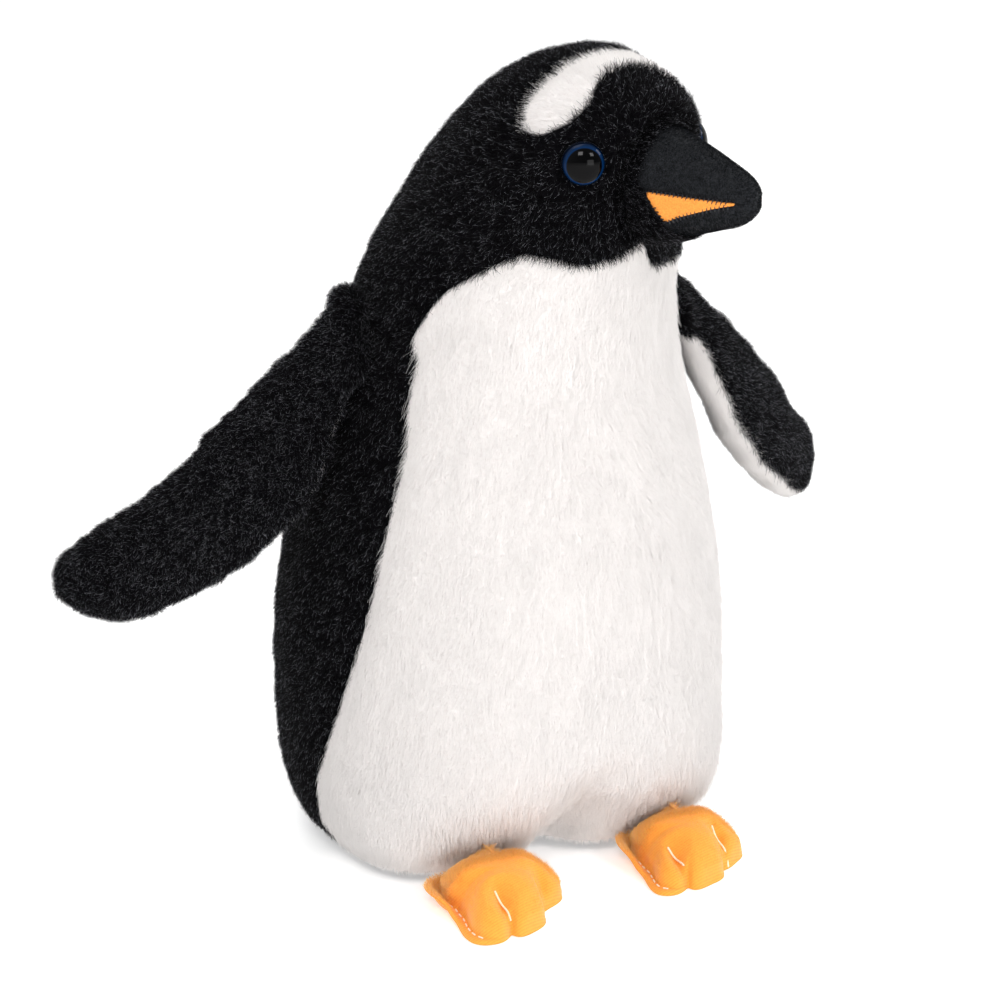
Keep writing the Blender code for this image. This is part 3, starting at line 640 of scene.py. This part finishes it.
def build_flipper(side, pale, dark):
    body = f"flipper_{side}"
    nodes = (f"flipper_outer_{side}", f"flipper_inner_{side}", f"flipper_stuffing_{side}")
    hinge, axis = joint_of(body)
    roll = capsule(hinge - axis * ROOT_ROLL_HALF, hinge + axis * ROOT_ROLL_HALF, ROOT_ROLL_RADIUS)
    cover = one_skin(f"flipper_plush_{side}", nodes, voxel=1.7 * MM, smoothing=6, inset=0.9 * MM, extra=roll)
    points, _ = vertex_arrays(cover)
    distances = node_distances(points, nodes[:2])
    seam = np.exp(-(((distances[0] - distances[1]) / (2.2 * MM)) ** 2))
    shoulder = np.array(hinge)
    near_root = ease(17 * MM, 9 * MM, np.linalg.norm(points - shoulder, axis=1))
    white = distances[0] - distances[1] + SEAM_SHIFT[side] - 6 * MM * near_root
    puff(cover, np.clip(np.maximum(seam, near_root), 0, 1), pressure=2.5, cap=1.3 * MM)
    set_attribute(cover.data, "white", white)
    set_attribute(cover.data, "seam", seam * (1 - near_root))
    subdivide(cover, 1)
    white, seam = read_attribute(cover, "white"), read_attribute(cover, "seam")
    points, normals = vertex_arrays(cover)
    tufts = noise(points, 2.0 * MM, 51) + 0.5 * noise(points, 1.1 * MM, 52)
    lumps = noise(points, 14 * MM, 53) * 0.5 * MM
    set_points(cover, points + normals * (0.15 * MM * tufts - 0.3 * MM * seam + lumps)[:, None])
    cover.data.materials.append(pile_material(f"flipper_pile_{side}"))
    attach(cover, body)
    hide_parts(*nodes)
    along = unit(points[np.linalg.norm(points - shoulder, axis=1).argmax()] - shoulder)

    def grow(root, normal, rng, corners, weights, wants_white):
        count = len(root)
        field = interpolated(white, corners, weights) + rng.normal(0, 0.3 * MM, count)
        is_white = field > 0
        comb = along + 0.5 * noise(root, 8 * MM, 61, 3)
        comb = comb + rng.normal(0, 1, (count, 3)) * np.where(is_white, 0.25, 0.9)[:, None]
        length = np.where(is_white, 4.0, 4.1) * MM * rng.uniform(0.7, 1.15, count)
        length *= 1 + 0.3 * noise(root, 2.6 * MM, 63) * ~is_white
        lift = np.where(is_white, 0.5, 0.85) + rng.normal(0, 0.1, count)
        lift = lift + 0.14 * noise(root, 5 * MM, 62)
        lean = np.where(is_white, 0.75, 0.45) + rng.normal(0, 0.1, count)
        keep = is_white == wants_white
        radius = np.where(is_white, 0.04, 0.05) * MM * rng.uniform(0.7, 1.3, count)
        return length, lift, lean, comb, strand_tints(is_white, rng), radius, keep

    two_tone_fur(cover, body, FLIPPER_STRANDS, 71, grow, pale, dark)


# ---- Tail ----


def build_tail(dark):
    nodes = ("tail_cover", "tail_stuffing")
    cover = one_skin("tail_plush", nodes, voxel=1.2 * MM, smoothing=4, inset=0.8 * MM)
    subdivide(cover, 1)
    points, normals = vertex_arrays(cover)
    set_attribute(cover.data, "white", np.full(len(points), -10 * MM))
    set_points(cover, points + normals * (0.15 * MM * noise(points, 1.8 * MM, 81))[:, None])
    cover.data.materials.append(pile_material("tail_pile"))
    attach(cover, "torso")
    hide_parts(*nodes)

    def grow(root, normal, rng, corners, weights):
        count = len(root)
        comb = np.array([0, 1.0, -0.1]) + 0.3 * noise(root, 6 * MM, 82, 3) + rng.normal(0, 0.2, (count, 3))
        length = 3.6 * MM * rng.uniform(0.75, 1.15, count) * (0.45 + 0.55 * ease(-0.8, 0.2, normal[:, 2]))
        lift, lean = 0.6 + rng.normal(0, 0.08, count), 0.6 + rng.normal(0, 0.08, count)
        radius = np.full(count, 0.04 * MM) * rng.uniform(0.7, 1.3, count)
        tint = strand_tints(np.zeros(count, bool), rng)
        return length, lift, lean, comb, tint, radius, root[:, 2] > 1.5 * MM

    fur("tail_fur", cover, "torso", TAIL_STRANDS // THIN, 83, grow, dark)


# ---- Beak ----

FELT_SHIFT = 4 * MM  # how far ahead of its CAD place the felt lies
FELT_HIDDEN, FELT_SLANT = 7 * MM, 0.54  # under the head's pile, and how much more of it per height lower down
BEAK_CLOTH = (0.010, 0.012, 0.016)
FELT = (0.85, 0.31, 0.045)
PATCH_STITCH = 1.2 * MM
PLEAT_PITCH = 3.4 * MM


def beak_axis():
    """A point in the middle of the beak's base, and the way to its tip."""
    points = node_points("beak_stuffing")
    head = centre("head_stuffing")
    away = np.linalg.norm((points - head)[:, :2], axis=1)
    tip = points[away > away.max() - 0.5 * MM].mean(axis=0)
    rough = unit((tip - head) * (1, 1, 0))
    base = points[points @ rough < (points @ rough).min() + 1 * MM].mean(axis=0)
    return base, unit(tip - base)


def nap_material(name, dark, light, scale, roughness, ramp=(0.4, 0.7)):
    """Short nap mottled from dark to light, with noise of the given scale."""
    material, tree, shader = new_material(name, Roughness=roughness)
    texture = noise_node(tree, scale)
    colours = colour_ramp(tree, (ramp[0], dark), (ramp[1], light))
    wire(tree, texture, "Fac", colours, "Fac")
    wire(tree, colours, "Color", shader, "Base Color")
    add_bump(tree, shader, texture, 0.4, 0.3 * MM)
    return material


def felt_start(points, base, axis):
    """Where the visible felt starts along the beak at each point's height, on a slant, and the felt's top."""
    felt = node_points("beak_patch_right")
    reach = (felt - base) @ axis
    top = felt[reach < reach.min() + 6 * MM][:, 2].max()
    return reach.min() + FELT_HIDDEN + FELT_SLANT * np.clip(top - points[:, 2], 0, 14 * MM), top


def build_beak(dark):
    nodes = (*BEAK_SHELLS, "beak_stuffing")
    cover = one_skin("beak_cloth", nodes, voxel=0.9 * MM, smoothing=3, inset=0.25 * MM)
    subdivide(cover, 1)
    points, normals = vertex_arrays(cover)
    distances = node_distances(points, BEAK_SHELLS)
    base, axis = beak_axis()
    reach = (points - base) @ axis
    mouth = np.abs(distances[0] - distances[1:].min(axis=0))
    lower = distances[1] < distances[0]
    edge = np.abs(distances[1] - distances[2:].min(axis=0))
    pleats = np.sin(math.tau * reach / PLEAT_PITCH + 2 * noise(points, 5 * MM, 91))
    pleats = pleats * np.exp(-((edge / (5 * MM)) ** 2)) * lower
    relief = 0.25 * MM * noise(points, 7 * MM, 92)
    set_points(cover, points + normals * relief[:, None])
    surface = BVHTree.FromObject(cover, bpy.context.evaluated_depsgraph_get())
    relief += 0.2 * MM * pleats - 0.35 * MM * np.exp(-((mouth / (0.9 * MM)) ** 2))
    set_points(cover, points + normals * relief[:, None])
    cover.data.materials.append(nap_material("beak_nap", (0.005, 0.006, 0.008), (0.015, 0.018, 0.023), 2600, 0.9))
    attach(cover, "torso")
    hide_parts("beak_upper", "beak_lower", "beak_stuffing")
    patches = node_tree(BEAK_SHELLS[2:])

    def grow(root, normal, rng, corners, weights):
        count = len(root)
        comb = axis * 0.6 + rng.normal(0, 0.6, (count, 3))
        length = 0.9 * MM * rng.uniform(0.6, 1.3, count)
        lift, lean = np.full(count, 0.7), np.full(count, 0.6)
        tint = np.array(BEAK_CLOTH) * rng.lognormal(-0.1, 0.8, (count, 1))
        keep = distances_to(patches, root) > 0.55 * MM
        return length, lift, lean, comb, tint, np.full(count, 0.03 * MM), keep

    fur("beak_nap_fur", cover, "torso", BEAK_STRANDS // THIN, 93, grow, dark)

    def cheek(root, normal, rng, corners, weights):
        """The black pile of the head, leaning forward over the beak's base and its felt."""
        count = len(root)
        limit, top = felt_start(root, base, axis)
        limit -= 1.3 * MM + 1.9 * MM * ease(top, top + 2 * MM, root[:, 2])
        keep = (root - base) @ axis < limit + rng.normal(0, 0.4 * MM, count)
        comb = axis + rng.normal(0, 0.45, (count, 3))
        length = 3.0 * MM * rng.uniform(0.6, 1.2, count)
        lift, lean = np.full(count, 0.65), np.full(count, 0.6)
        radius = 0.05 * MM * rng.uniform(0.7, 1.3, count)
        return length, lift, lean, comb, strand_tints(np.zeros(count, bool), rng), radius, keep

    fur("cheek_fur", cover, "torso", CHEEK_STRANDS // THIN, 94, cheek, dark)
    felt = nap_material("orange_felt", (0.72, 0.22, 0.03), FELT, 2200, 0.85, (0.3, 0.6))
    thread = nap_material("beak_thread", (0.006, 0.006, 0.008), (0.02, 0.02, 0.025), 4000, 0.6)
    for side in SIDES:
        build_patch(side, surface, felt, thread, base, axis)


def laid_on(surface, points, move, height=None):
    """The points moved over a surface, each as far above it as it was or at one height above it."""
    laid = []
    for point in points:
        found, normal, _, _ = surface.find_nearest(Vector(point))
        above = (Vector(point) - found) @ normal if height is None else height
        found, normal, _, _ = surface.find_nearest(Vector(point + move))
        laid.append(found + normal * above)
    return np.array(laid)


def build_patch(side, surface, felt, thread, base, axis):
    node = f"beak_patch_{side}"
    patch = joined(f"beak_felt_{side}", (node,))
    add_modifier(patch, "WELD", merge_threshold=0.02 * MM)
    add_modifier(patch, "SUBSURF", subdivision_type="SIMPLE", levels=3, render_levels=3)
    add_modifier(patch, "SMOOTH", factor=0.5, iterations=3)
    apply_modifiers(patch)
    points, normals = vertex_arrays(patch)
    set_points(patch, points + normals * (0.3 * MM + 0.05 * MM * noise(points, 0.6 * MM, 95))[:, None])
    points, _ = vertex_arrays(patch)
    set_points(patch, laid_on(surface, points, axis * FELT_SHIFT))
    points, _ = vertex_arrays(patch)
    cut = (points - base) @ axis < felt_start(points, base, axis)[0]
    with editing(patch) as bm:
        bm.verts.ensure_lookup_table()
        bmesh.ops.delete(bm, geom=[bm.verts[i] for i in np.flatnonzero(cut)], context="VERTS")
        bmesh.ops.holes_fill(bm, edges=bm.edges, sides=0)
    patch.data.shade_smooth()
    patch.data.materials.clear()
    patch.data.materials.append(felt)
    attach(patch, "torso")
    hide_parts(node)
    points, _ = vertex_arrays(patch)
    reach = (points - base) @ axis
    out = unit(np.cross(axis, (0, 0, 1)))
    out *= np.sign((points.mean(axis=0) - base) @ out)
    turn = np.arctan2((points - base)[:, 2], (points - base) @ out)
    rows = np.arange(reach.min() + 0.5 * MM, reach.max() - 0.3 * MM, 0.5 * MM)
    bars = []
    for sign in (1, -1):
        rim = []
        for row in rows:
            here = np.abs(reach - row) < 0.4 * MM
            rim.append(points[here][(sign * turn[here]).argmax()])
        line = np.array([np.mean(rim[max(0, i - 3) : i + 4], axis=0) for i in range(len(rim))])
        line = laid_on(surface, line, np.zeros(3), 0.5 * MM)
        for point, along in stepped(line, PATCH_STITCH):
            outward = unit(point - base - ((point - base) @ axis) * axis)
            across = unit(np.cross(outward, along))
            slant = unit(across + 0.35 * along)
            bars.append((point - slant * 0.6 * MM, point + slant * 0.6 * MM, 0.17 * MM))
    stitches = rods(f"beak_stitches_{side}", bars, thread)
    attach(stitches, "torso")


def stepped(line, pitch):
    """Points every pitch along a line of points, each with the line's direction there."""
    spans = np.linalg.norm(np.diff(line, axis=0), axis=1)
    walked = np.concatenate([[0], np.cumsum(spans)])
    for distance in np.arange(pitch / 2, walked[-1], pitch):
        point, ahead, behind = (
            np.array([np.interp(at, walked, line[:, i]) for i in range(3)])
            for at in (distance, distance + pitch / 4, distance - pitch / 4)
        )
        yield point, unit(ahead - behind)


def rods(name, bars, material, sides=8):
    """Many short round-ended rods as one object."""
    mesh = bpy.data.meshes.new(name)
    total = bmesh.new()
    for start, end, radius in bars:
        piece = capsule(Vector(start), Vector(end), radius, sides, 4)
        part = bpy.data.meshes.new("part")
        piece.to_mesh(part)
        piece.free()
        total.from_mesh(part)
        bpy.data.meshes.remove(part)
    total.to_mesh(mesh)
    total.free()
    mesh.shade_smooth()
    mesh.materials.append(material)
    return link(bpy.data.objects.new(name, mesh))


# ---- Eyes ----


def lathe(name, profile, place, sides=64):
    """Turns (radius, height) points about the place's Z. The profile starts and ends on the axis."""
    points, faces = [], []
    for r, h in profile:
        for i in range(sides):
            a = i * math.tau / sides
            points.append(place @ Vector((r * math.cos(a), r * math.sin(a), h)))
    for row in range(len(profile) - 1):
        for i in range(sides):
            j = (i + 1) % sides
            faces.append((row * sides + i, row * sides + j, (row + 1) * sides + j, (row + 1) * sides + i))
    obj = mesh_object(name, points, faces)
    with editing(obj) as bm:
        bmesh.ops.remove_doubles(bm, verts=bm.verts, dist=1e-6)
    turn_faces_out(obj)
    return obj


EYE_SCALE = 0.95  # of the radius in CAD, whose rim sits in the pile
EYE_SUNK = {"left": 2.8 * MM, "right": 1.4 * MM}
PUPIL_SHARE = 0.79


def build_eye(side):
    """A disc and the dome over it. The dome is painted too, since light through a clear one turned it grey."""
    disc, dome = node_points(f"eye_disc_{side}"), node_points(f"eye_dome_{side}")
    axis = Vector(unit(dome.mean(axis=0) - disc.mean(axis=0)))
    way = np.array(axis)
    reach = dome @ way
    middle = Vector(dome.mean(axis=0))
    seat = middle + axis * (reach.min() - middle @ axis - EYE_SUNK[side])
    from_seat = dome - np.array(seat)
    radius = np.linalg.norm(from_seat - np.outer(from_seat @ way, axis), axis=1).max() * EYE_SCALE
    place = Matrix.Translation(seat) @ axis.to_track_quat("Z", "Y").to_matrix().to_4x4()
    height = reach.max() - reach.min()
    pupil = PUPIL_SHARE * radius
    plate = [(0, -2.2 * MM), (0.96 * radius, -2.0 * MM), (radius, -1.2 * MM), (radius, -0.05 * MM)]
    plate += [(0.97 * radius, 0.0), (0.9 * radius, -0.15 * MM), (pupil * 1.03, -0.2 * MM)]
    plate += [(pupil * math.cos(a), 0.55 * MM * math.sin(a)) for a in np.linspace(0, math.pi / 2, 7)]
    plate[-1] = (0, plate[-1][1])
    iris = lathe(f"eye_iris_{side}", plate, place)
    iris.data.materials.append(iris_material(f"iris_{side}", place, pupil / radius, radius, 0.4))
    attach(iris, "torso")
    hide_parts(f"eye_disc_{side}")
    bulge = [(0, -0.5 * MM), (0.96 * radius, -0.5 * MM)]
    bulge += [(radius * math.cos(a), 0.1 * MM + height * math.sin(a)) for a in np.linspace(0.05, math.pi / 2, 20)]
    bulge[-1] = (0, bulge[-1][1])
    cover = lathe(f"eye_cornea_{side}", bulge, place)
    cover.data.materials.append(iris_material(f"eye_dome_{side}", place, pupil / radius, radius, 0.06))
    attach(cover, "torso")
    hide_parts(f"eye_dome_{side}")


def iris_material(name, place, pupil_share, radius, roughness):
    """Black in the middle and a deep blue ring round it, by distance from the eye's own axis."""
    material, tree, shader = new_material(name, Roughness=roughness, Specular_IOR_Level=0.09)
    coordinates = add(tree, "TexCoord")
    turn = place.to_euler()
    local = add(tree, "Mapping", vector_type="TEXTURE", Location=place.translation, Rotation=turn)
    wire(tree, coordinates, "Object", local, "Vector")
    parts = add(tree, "SeparateXYZ")
    wire(tree, local, "Vector", parts, "Vector")
    flat = add(tree, "CombineXYZ")
    wire(tree, parts, "X", flat, "X")
    wire(tree, parts, "Y", flat, "Y")
    length = add(tree, "VectorMath", operation="LENGTH")
    wire(tree, flat, "Vector", length, 0)
    share = add(tree, "Math", operation="DIVIDE")
    share.inputs[1].default_value = radius
    wire(tree, length, "Value", share, 0)
    ramp = colour_ramp(
        tree,
        (pupil_share + 0.01, (0.0008, 0.0008, 0.001)),
        (pupil_share + 0.05, (0.0012, 0.016, 0.06)),
        (0.95, (0.001, 0.008, 0.028)),
        (0.99, (0.002, 0.004, 0.01)),
    )
    wire(tree, share, "Value", ramp, "Fac")
    wire(tree, ramp, "Color", shader, "Base Color")
    return material


# ---- Feet ----

# Outline of each foot: degrees from its forward towards the penguin's left, and distance from its middle in mm.
FOOT_RIM = {
    "left": (
        (-180, 14.5), (-150, 17), (-128, 20.8), (-100, 16.6), (-70, 17), (-46, 23), (-20, 17.4), (0, 14.2),
        (30, 12.6), (60, 12.6), (75, 13.8), (93, 18.4), (118, 18.5), (150, 16.5),
    ),
    "right": (
        (-180, 14.5), (-150, 18), (-122, 22.6), (-98, 16.4), (-70, 17), (-41, 23.6), (-15, 18.8), (6, 15.8),
        (30, 14), (55, 12.4), (75, 12.8), (97, 19), (118, 19), (150, 16.5),
    ),
}
CREASES = {"left": (-8.4 * MM, 8.8 * MM), "right": (-5.6 * MM, 10.2 * MM)}  # across, each running straight ahead
CREASE_START = {"left": (4 * MM, -5 * MM), "right": (6.5 * MM, -3 * MM)}
THREADS = {"left": 2, "right": 1}  # creases whose tuck thread shows
CREASE_HALF = 2.4 * MM
NOTCH = 0.17  # share of the radius that a notch between toes takes
FOOT_DEPTH = 16 * MM
FOOT_GRID = 151  # points along each side of a foot's mesh
FOOT_MIDDLE = 8.5 * MM  # ahead of its hinge
FLANGE_TURN = np.radians((-180, -145, -120, -98, -60, -45, -34, -24, 180))
FLANGE_WIDTH = np.array((0.35, 2.5, 4.8, 4.0, 3.4, 2.8, 1.4, 0.35, 0.35)) * MM
FLANGE = 1.3 * MM  # its thickness
FLANGE_LIFT = 5.5 * MM
FOOT_LEAN = 7.5 * MM  # how far the top of the stuffing leans ahead
RIB_SLANT = 0.4
RIB_PITCH, RIB_DEPTH = 0.95 * MM, 0.035 * MM
STITCH_PITCH, STITCH_LENGTH, STITCH_RADIUS = 2.8 * MM, 1.6 * MM, 0.22 * MM
THREAD_RADIUS = 0.3 * MM
ORANGE = (0.94, 0.365, 0.04)


class FootPlan:
    """The sewn shape of a foot: a disc with three toes, by share of its radius and angle from its forward."""

    def __init__(self, side):
        self.body = f"foot_{side}"
        hinge, axis = (np.array(v) for v in joint_of(self.body))
        self.forward, self.left = np.cross((0, 0, 1.0), axis), -axis
        self.middle = np.array([hinge @ self.left, hinge @ self.forward + FOOT_MIDDLE])
        self.top = node_points(f"foot_top_{side}")[:, 2].max()
        self.creases, self.starts = CREASES[side], CREASE_START[side]
        self.rib = (RIB_SLANT, 1) / np.hypot(RIB_SLANT, 1)
        marks = np.array(FOOT_RIM[side])
        turn = np.radians(np.concatenate([marks[:, 0] - 360, marks[:, 0], marks[:, 0] + 360]))
        self.fine = np.radians(np.arange(-180, 181))
        rough = np.interp(np.radians(np.arange(-400, 401)), turn, np.tile(marks[:, 1], 3) * MM)
        window = np.hanning(29) / np.hanning(29).sum()
        self.radius = np.convolve(rough, window, "same")[220:581]

    def crease(self, across, ahead, half):
        """1 on a crease between toes, falling to 0 over half beside it and towards its start."""
        found = [
            np.exp(-np.abs((across - at) / half) ** 1.5) * ease(start - 2 * MM, start + 6 * MM, ahead)
            for at, start in zip(self.creases, self.starts)
        ]
        return np.max(found, axis=0)

    def rim(self, angle, share=1.0):
        """Distance of the outline from the middle, drawn in at the notches between toes, and less so further in."""
        radius = np.interp(angle, self.fine, self.radius)
        across, ahead = radius * np.sin(angle), radius * np.cos(angle)
        return radius * (1 - NOTCH * self.crease(across, ahead, 2 * MM) * ease(0.62, 1.0, share))

    def padded_share(self, angle, outwards=0.0):
        """Share of the outline where the stuffing ends and the flat sewn flange starts."""
        width = np.interp(angle, FLANGE_TURN, FLANGE_WIDTH) * (1 - outwards)
        return 1 - width / self.rim(angle)

    def place(self, share, angle):
        radius = self.rim(angle, share) * share
        return radius * np.sin(angle), radius * np.cos(angle)

    def curl(self, share, angle):
        """Height of the underside: the flange lifts at the sides towards the back."""
        at_side = ease(45, 130, -np.degrees(angle))
        return FLANGE_LIFT * at_side * ease(0.7, 1.0, share) ** 1.5 + 0.25 * MM

    def upper(self, share, angle, above=0.0):
        share, angle = np.broadcast_arrays(np.asarray(share, float), np.asarray(angle, float))
        across, ahead = self.place(share, angle)
        body = np.clip(share / self.padded_share(angle), 0, 1)
        steep = 2.8 + 4 * ease(1.6, 2.6, np.abs(angle))
        toes = 1 - 0.2 * self.crease(across, ahead, 2.2 * CREASE_HALF)
        lift = (self.top - FLANGE) * np.sqrt(1 - body**steep) * toes
        lift *= 1 - 0.5 * self.crease(across, ahead, CREASE_HALF)
        lift *= 1 - 0.35 * ease(5 * MM, 17 * MM, across)
        lean = FOOT_LEAN * lift / self.top * ease(-0.6, 1, -ahead / FOOT_DEPTH)
        ribs = RIB_DEPTH * np.sin(math.tau * (across * self.rib[0] + (ahead - lift) * self.rib[1]) / RIB_PITCH)
        edge = ease(1, 0.97, share)
        z = self.curl(share, angle) + FLANGE * np.sqrt(np.clip(1 - share**30, 0, 1)) + lift + (ribs + above) * edge
        return self.world(across, ahead + lean, z)

    def over(self, across, ahead, above):
        """Points of the upper cloth at places given across and ahead."""
        angle, share = np.arctan2(across, ahead), 0.8
        for _ in range(4):
            share = np.clip(np.hypot(across, ahead) / self.rim(angle, share), 0, 0.99)
        return self.upper(share, angle, above)

    def lower(self, share, angle):
        across, ahead = self.place(share, angle)
        return self.world(across, ahead, self.curl(share, angle))

    def world(self, across, ahead, z):
        flat = np.multiply.outer(self.middle[0] + across, self.left)
        flat = flat + np.multiply.outer(self.middle[1] + ahead, self.forward)
        flat[..., 2] = z
        return flat


def grid_faces(count, start=0, flip=False):
    faces = []
    for i in range(count - 1):
        for j in range(count - 1):
            a = start + i * count + j
            face = (a, a + 1, a + count + 1, a + count)
            faces.append(face[::-1] if flip else face)
    return faces


def disc_grid(count):
    """A square grid spread over a disc: share of the radius and angle of each point."""
    line = np.linspace(-1, 1, count)
    a, b = np.meshgrid(line, line)
    x, y = a * np.sqrt(1 - b**2 / 2), b * np.sqrt(1 - a**2 / 2)
    return np.minimum(np.hypot(x, y), 1), np.arctan2(x, y)


def build_foot(side, fuzz):
    plan = FootPlan(side)
    size = FOOT_GRID
    share, angle = disc_grid(size)
    points = np.concatenate([plan.upper(share, angle).reshape(-1, 3), plan.lower(share, angle).reshape(-1, 3)])
    count = size * size
    faces = grid_faces(size) + grid_faces(size, count, flip=True)
    last = size - 1
    border = [(0, j) for j in range(size)] + [(i, last) for i in range(1, size)]
    border += [(last, j) for j in range(last - 1, -1, -1)] + [(i, 0) for i in range(last - 1, 0, -1)]
    border = [i * size + j for i, j in border]
    faces += [(b, a, a + count, b + count) for a, b in zip(border, border[1:] + border[:1])]
    foot = mesh_object(f"foot_cloth_{side}", points, faces)
    turn_faces_out(foot)
    foot.data.materials.append(ribbed_material(f"orange_ribs_{side}", plan))
    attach(foot, plan.body)
    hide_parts(f"foot_top_{side}", f"foot_sole_{side}", f"foot_stuffing_{side}")
    build_foot_stitches(side, plan)

    def grow(root, normal, rng, corners, weights):
        count = len(root)
        across, ahead = root @ plan.left - plan.middle[0], root @ plan.forward - plan.middle[1]
        rear = ease(0.0, -0.5, ahead / FOOT_DEPTH)
        comb = plan.forward * -0.2 + np.array([0, 0, 0.9]) + rng.normal(0, 0.45, (count, 3))
        length = (0.45 + 3.4 * rear) * MM * rng.uniform(0.6, 1.25, count)
        lift, lean = 0.75 - 0.1 * rear, 0.45 + 0.3 * rear
        # Painted light: the fuzz is tinted lighter than the cloth, and the rear strands, which lie in shade under
        # the belly, are paler still.
        tint = np.array((1.0, 0.46, 0.08)) * rng.lognormal(0, 0.12, (count, 1))
        tint = np.clip(tint + rear[:, None] * rng.uniform(0, 0.25, (count, 1)) * (0.2, 0.5, 0.8), 0, 1)
        angle = np.arctan2(across, ahead)
        flange = np.hypot(across, ahead) > plan.rim(angle) - np.interp(angle, FLANGE_TURN, FLANGE_WIDTH) - 0.5 * MM
        length *= np.where(flange, 0.45, 1.0)
        keep = (normal[:, 2] > -0.2) & (rng.random(count) < (0.25 + rear) * np.where(flange, 0.35, 1.0))
        return length, lift, lean, comb, tint, np.full(count, 0.035 * MM) * (1 + 0.2 * rear), keep

    fur(f"foot_fuzz_{side}", foot, plan.body, FOOT_STRANDS // THIN, 103, grow, fuzz)


def build_foot_stitches(side, plan):
    pale = nap_material("pale_thread", (0.9, 0.72, 0.5), (1.0, 0.88, 0.7), 3000, 0.6)
    angle = np.radians(np.linspace(-130, -40, 300))
    line = plan.upper(plan.padded_share(angle, 0.3), angle, 0.2 * MM)
    bars = []
    for point, along in stepped(line, STITCH_PITCH):
        half = along * (STITCH_LENGTH / 2 - STITCH_RADIUS)
        bars.append((point - half, point + half, STITCH_RADIUS))
    for crease, start in list(zip(plan.creases, plan.starts))[: THREADS[side]]:
        walk = np.linspace(0, 1, 14)
        front = np.sqrt(np.clip((0.86 * plan.rim(math.atan2(crease, FOOT_DEPTH))) ** 2 - crease**2, 0, None))
        ahead = start + 2 * MM + (front - start - 1 * MM) * walk
        line = plan.over(crease + (1.8 * np.sin(math.pi / 2 * walk) - 0.9) * MM, ahead, 0.4 * MM)
        for _ in range(8):
            line[1:-1] = (line[:-2] + 2 * line[1:-1] + line[2:]) / 4
        bars += [(a, b, THREAD_RADIUS) for a, b in zip(line, line[1:])]
    stitches = rods(f"foot_stitches_{side}", bars, pale)
    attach(stitches, plan.body)


def ribbed_material(name, plan):
    """Orange cloth with fine diagonal ribs, painted shade in the valleys between them, and a mottled nap."""
    material, tree, shader = new_material(name, Roughness=0.85, Sheen_Weight=0.2)
    coordinates = add(tree, "TexCoord")
    along = add(tree, "VectorMath", operation="DOT_PRODUCT")
    along.inputs[1].default_value = tuple(plan.rib[0] * plan.left + plan.rib[1] * (plan.forward - (0, 0, 1)))
    wire(tree, coordinates, "Object", along, 0)
    phase = add(tree, "Math", operation="MULTIPLY_ADD")
    phase.inputs[1].default_value = math.tau / RIB_PITCH
    phase.inputs[2].default_value = -math.tau / RIB_PITCH * (plan.middle @ plan.rib)
    wire(tree, along, "Value", phase, 0)
    wave = add(tree, "Math", operation="SINE")
    wire(tree, phase, "Value", wave, 0)
    # Painted shade: the rib wave darkens the orange in the valleys between the ribs.
    ribs = map_range(tree, -1, 1)
    wire(tree, wave, "Value", ribs, "Value")
    nap = noise_node(tree, 1500)
    blend = add(tree, "Mix", data_type="FLOAT", Factor=0.6)
    wire(tree, ribs, "Result", blend, 2)
    wire(tree, nap, "Fac", blend, 3)
    # The darker orange is painted shade in the rib valleys, mixed with the nap's random mottling.
    colours = colour_ramp(tree, (0.2, (0.87, 0.27, 0.024)), (0.65, ORANGE))
    wire(tree, blend, 0, colours, "Fac")
    wire(tree, colours, "Color", shader, "Base Color")
    add_bump(tree, shader, nap, 0.35, 0.2 * MM)
    return material


def main():
    build_stage()
    build_camera()
    pale = strand_material("white_strands", 0.6, 0.2, 0.75)
    # The black strands keep 0.15 of their tint at the root: painted shade, which leaves painted glints at the tips.
    dark = strand_material("black_strands", 0.5, 0.05, 0.3, 0.15)
    fuzz = strand_material("orange_strands", 0.7, 0.2, 0.35)
    torso = build_torso()
    build_torso_fur(torso, pale, dark)
    build_tail(dark)
    build_beak(dark)
    for side in SIDES:
        build_flipper(side, pale, dark)
        build_eye(side)
        build_foot(side, fuzz)
        washer = frame["nodes"][f"eye_washer_{side}"]
        washer.data.materials.clear()
        washer.data.materials.append(nap_material(f"washer_{side}", (0.7, 0.7, 0.68), (0.8, 0.8, 0.78), 800, 0.4))


main()
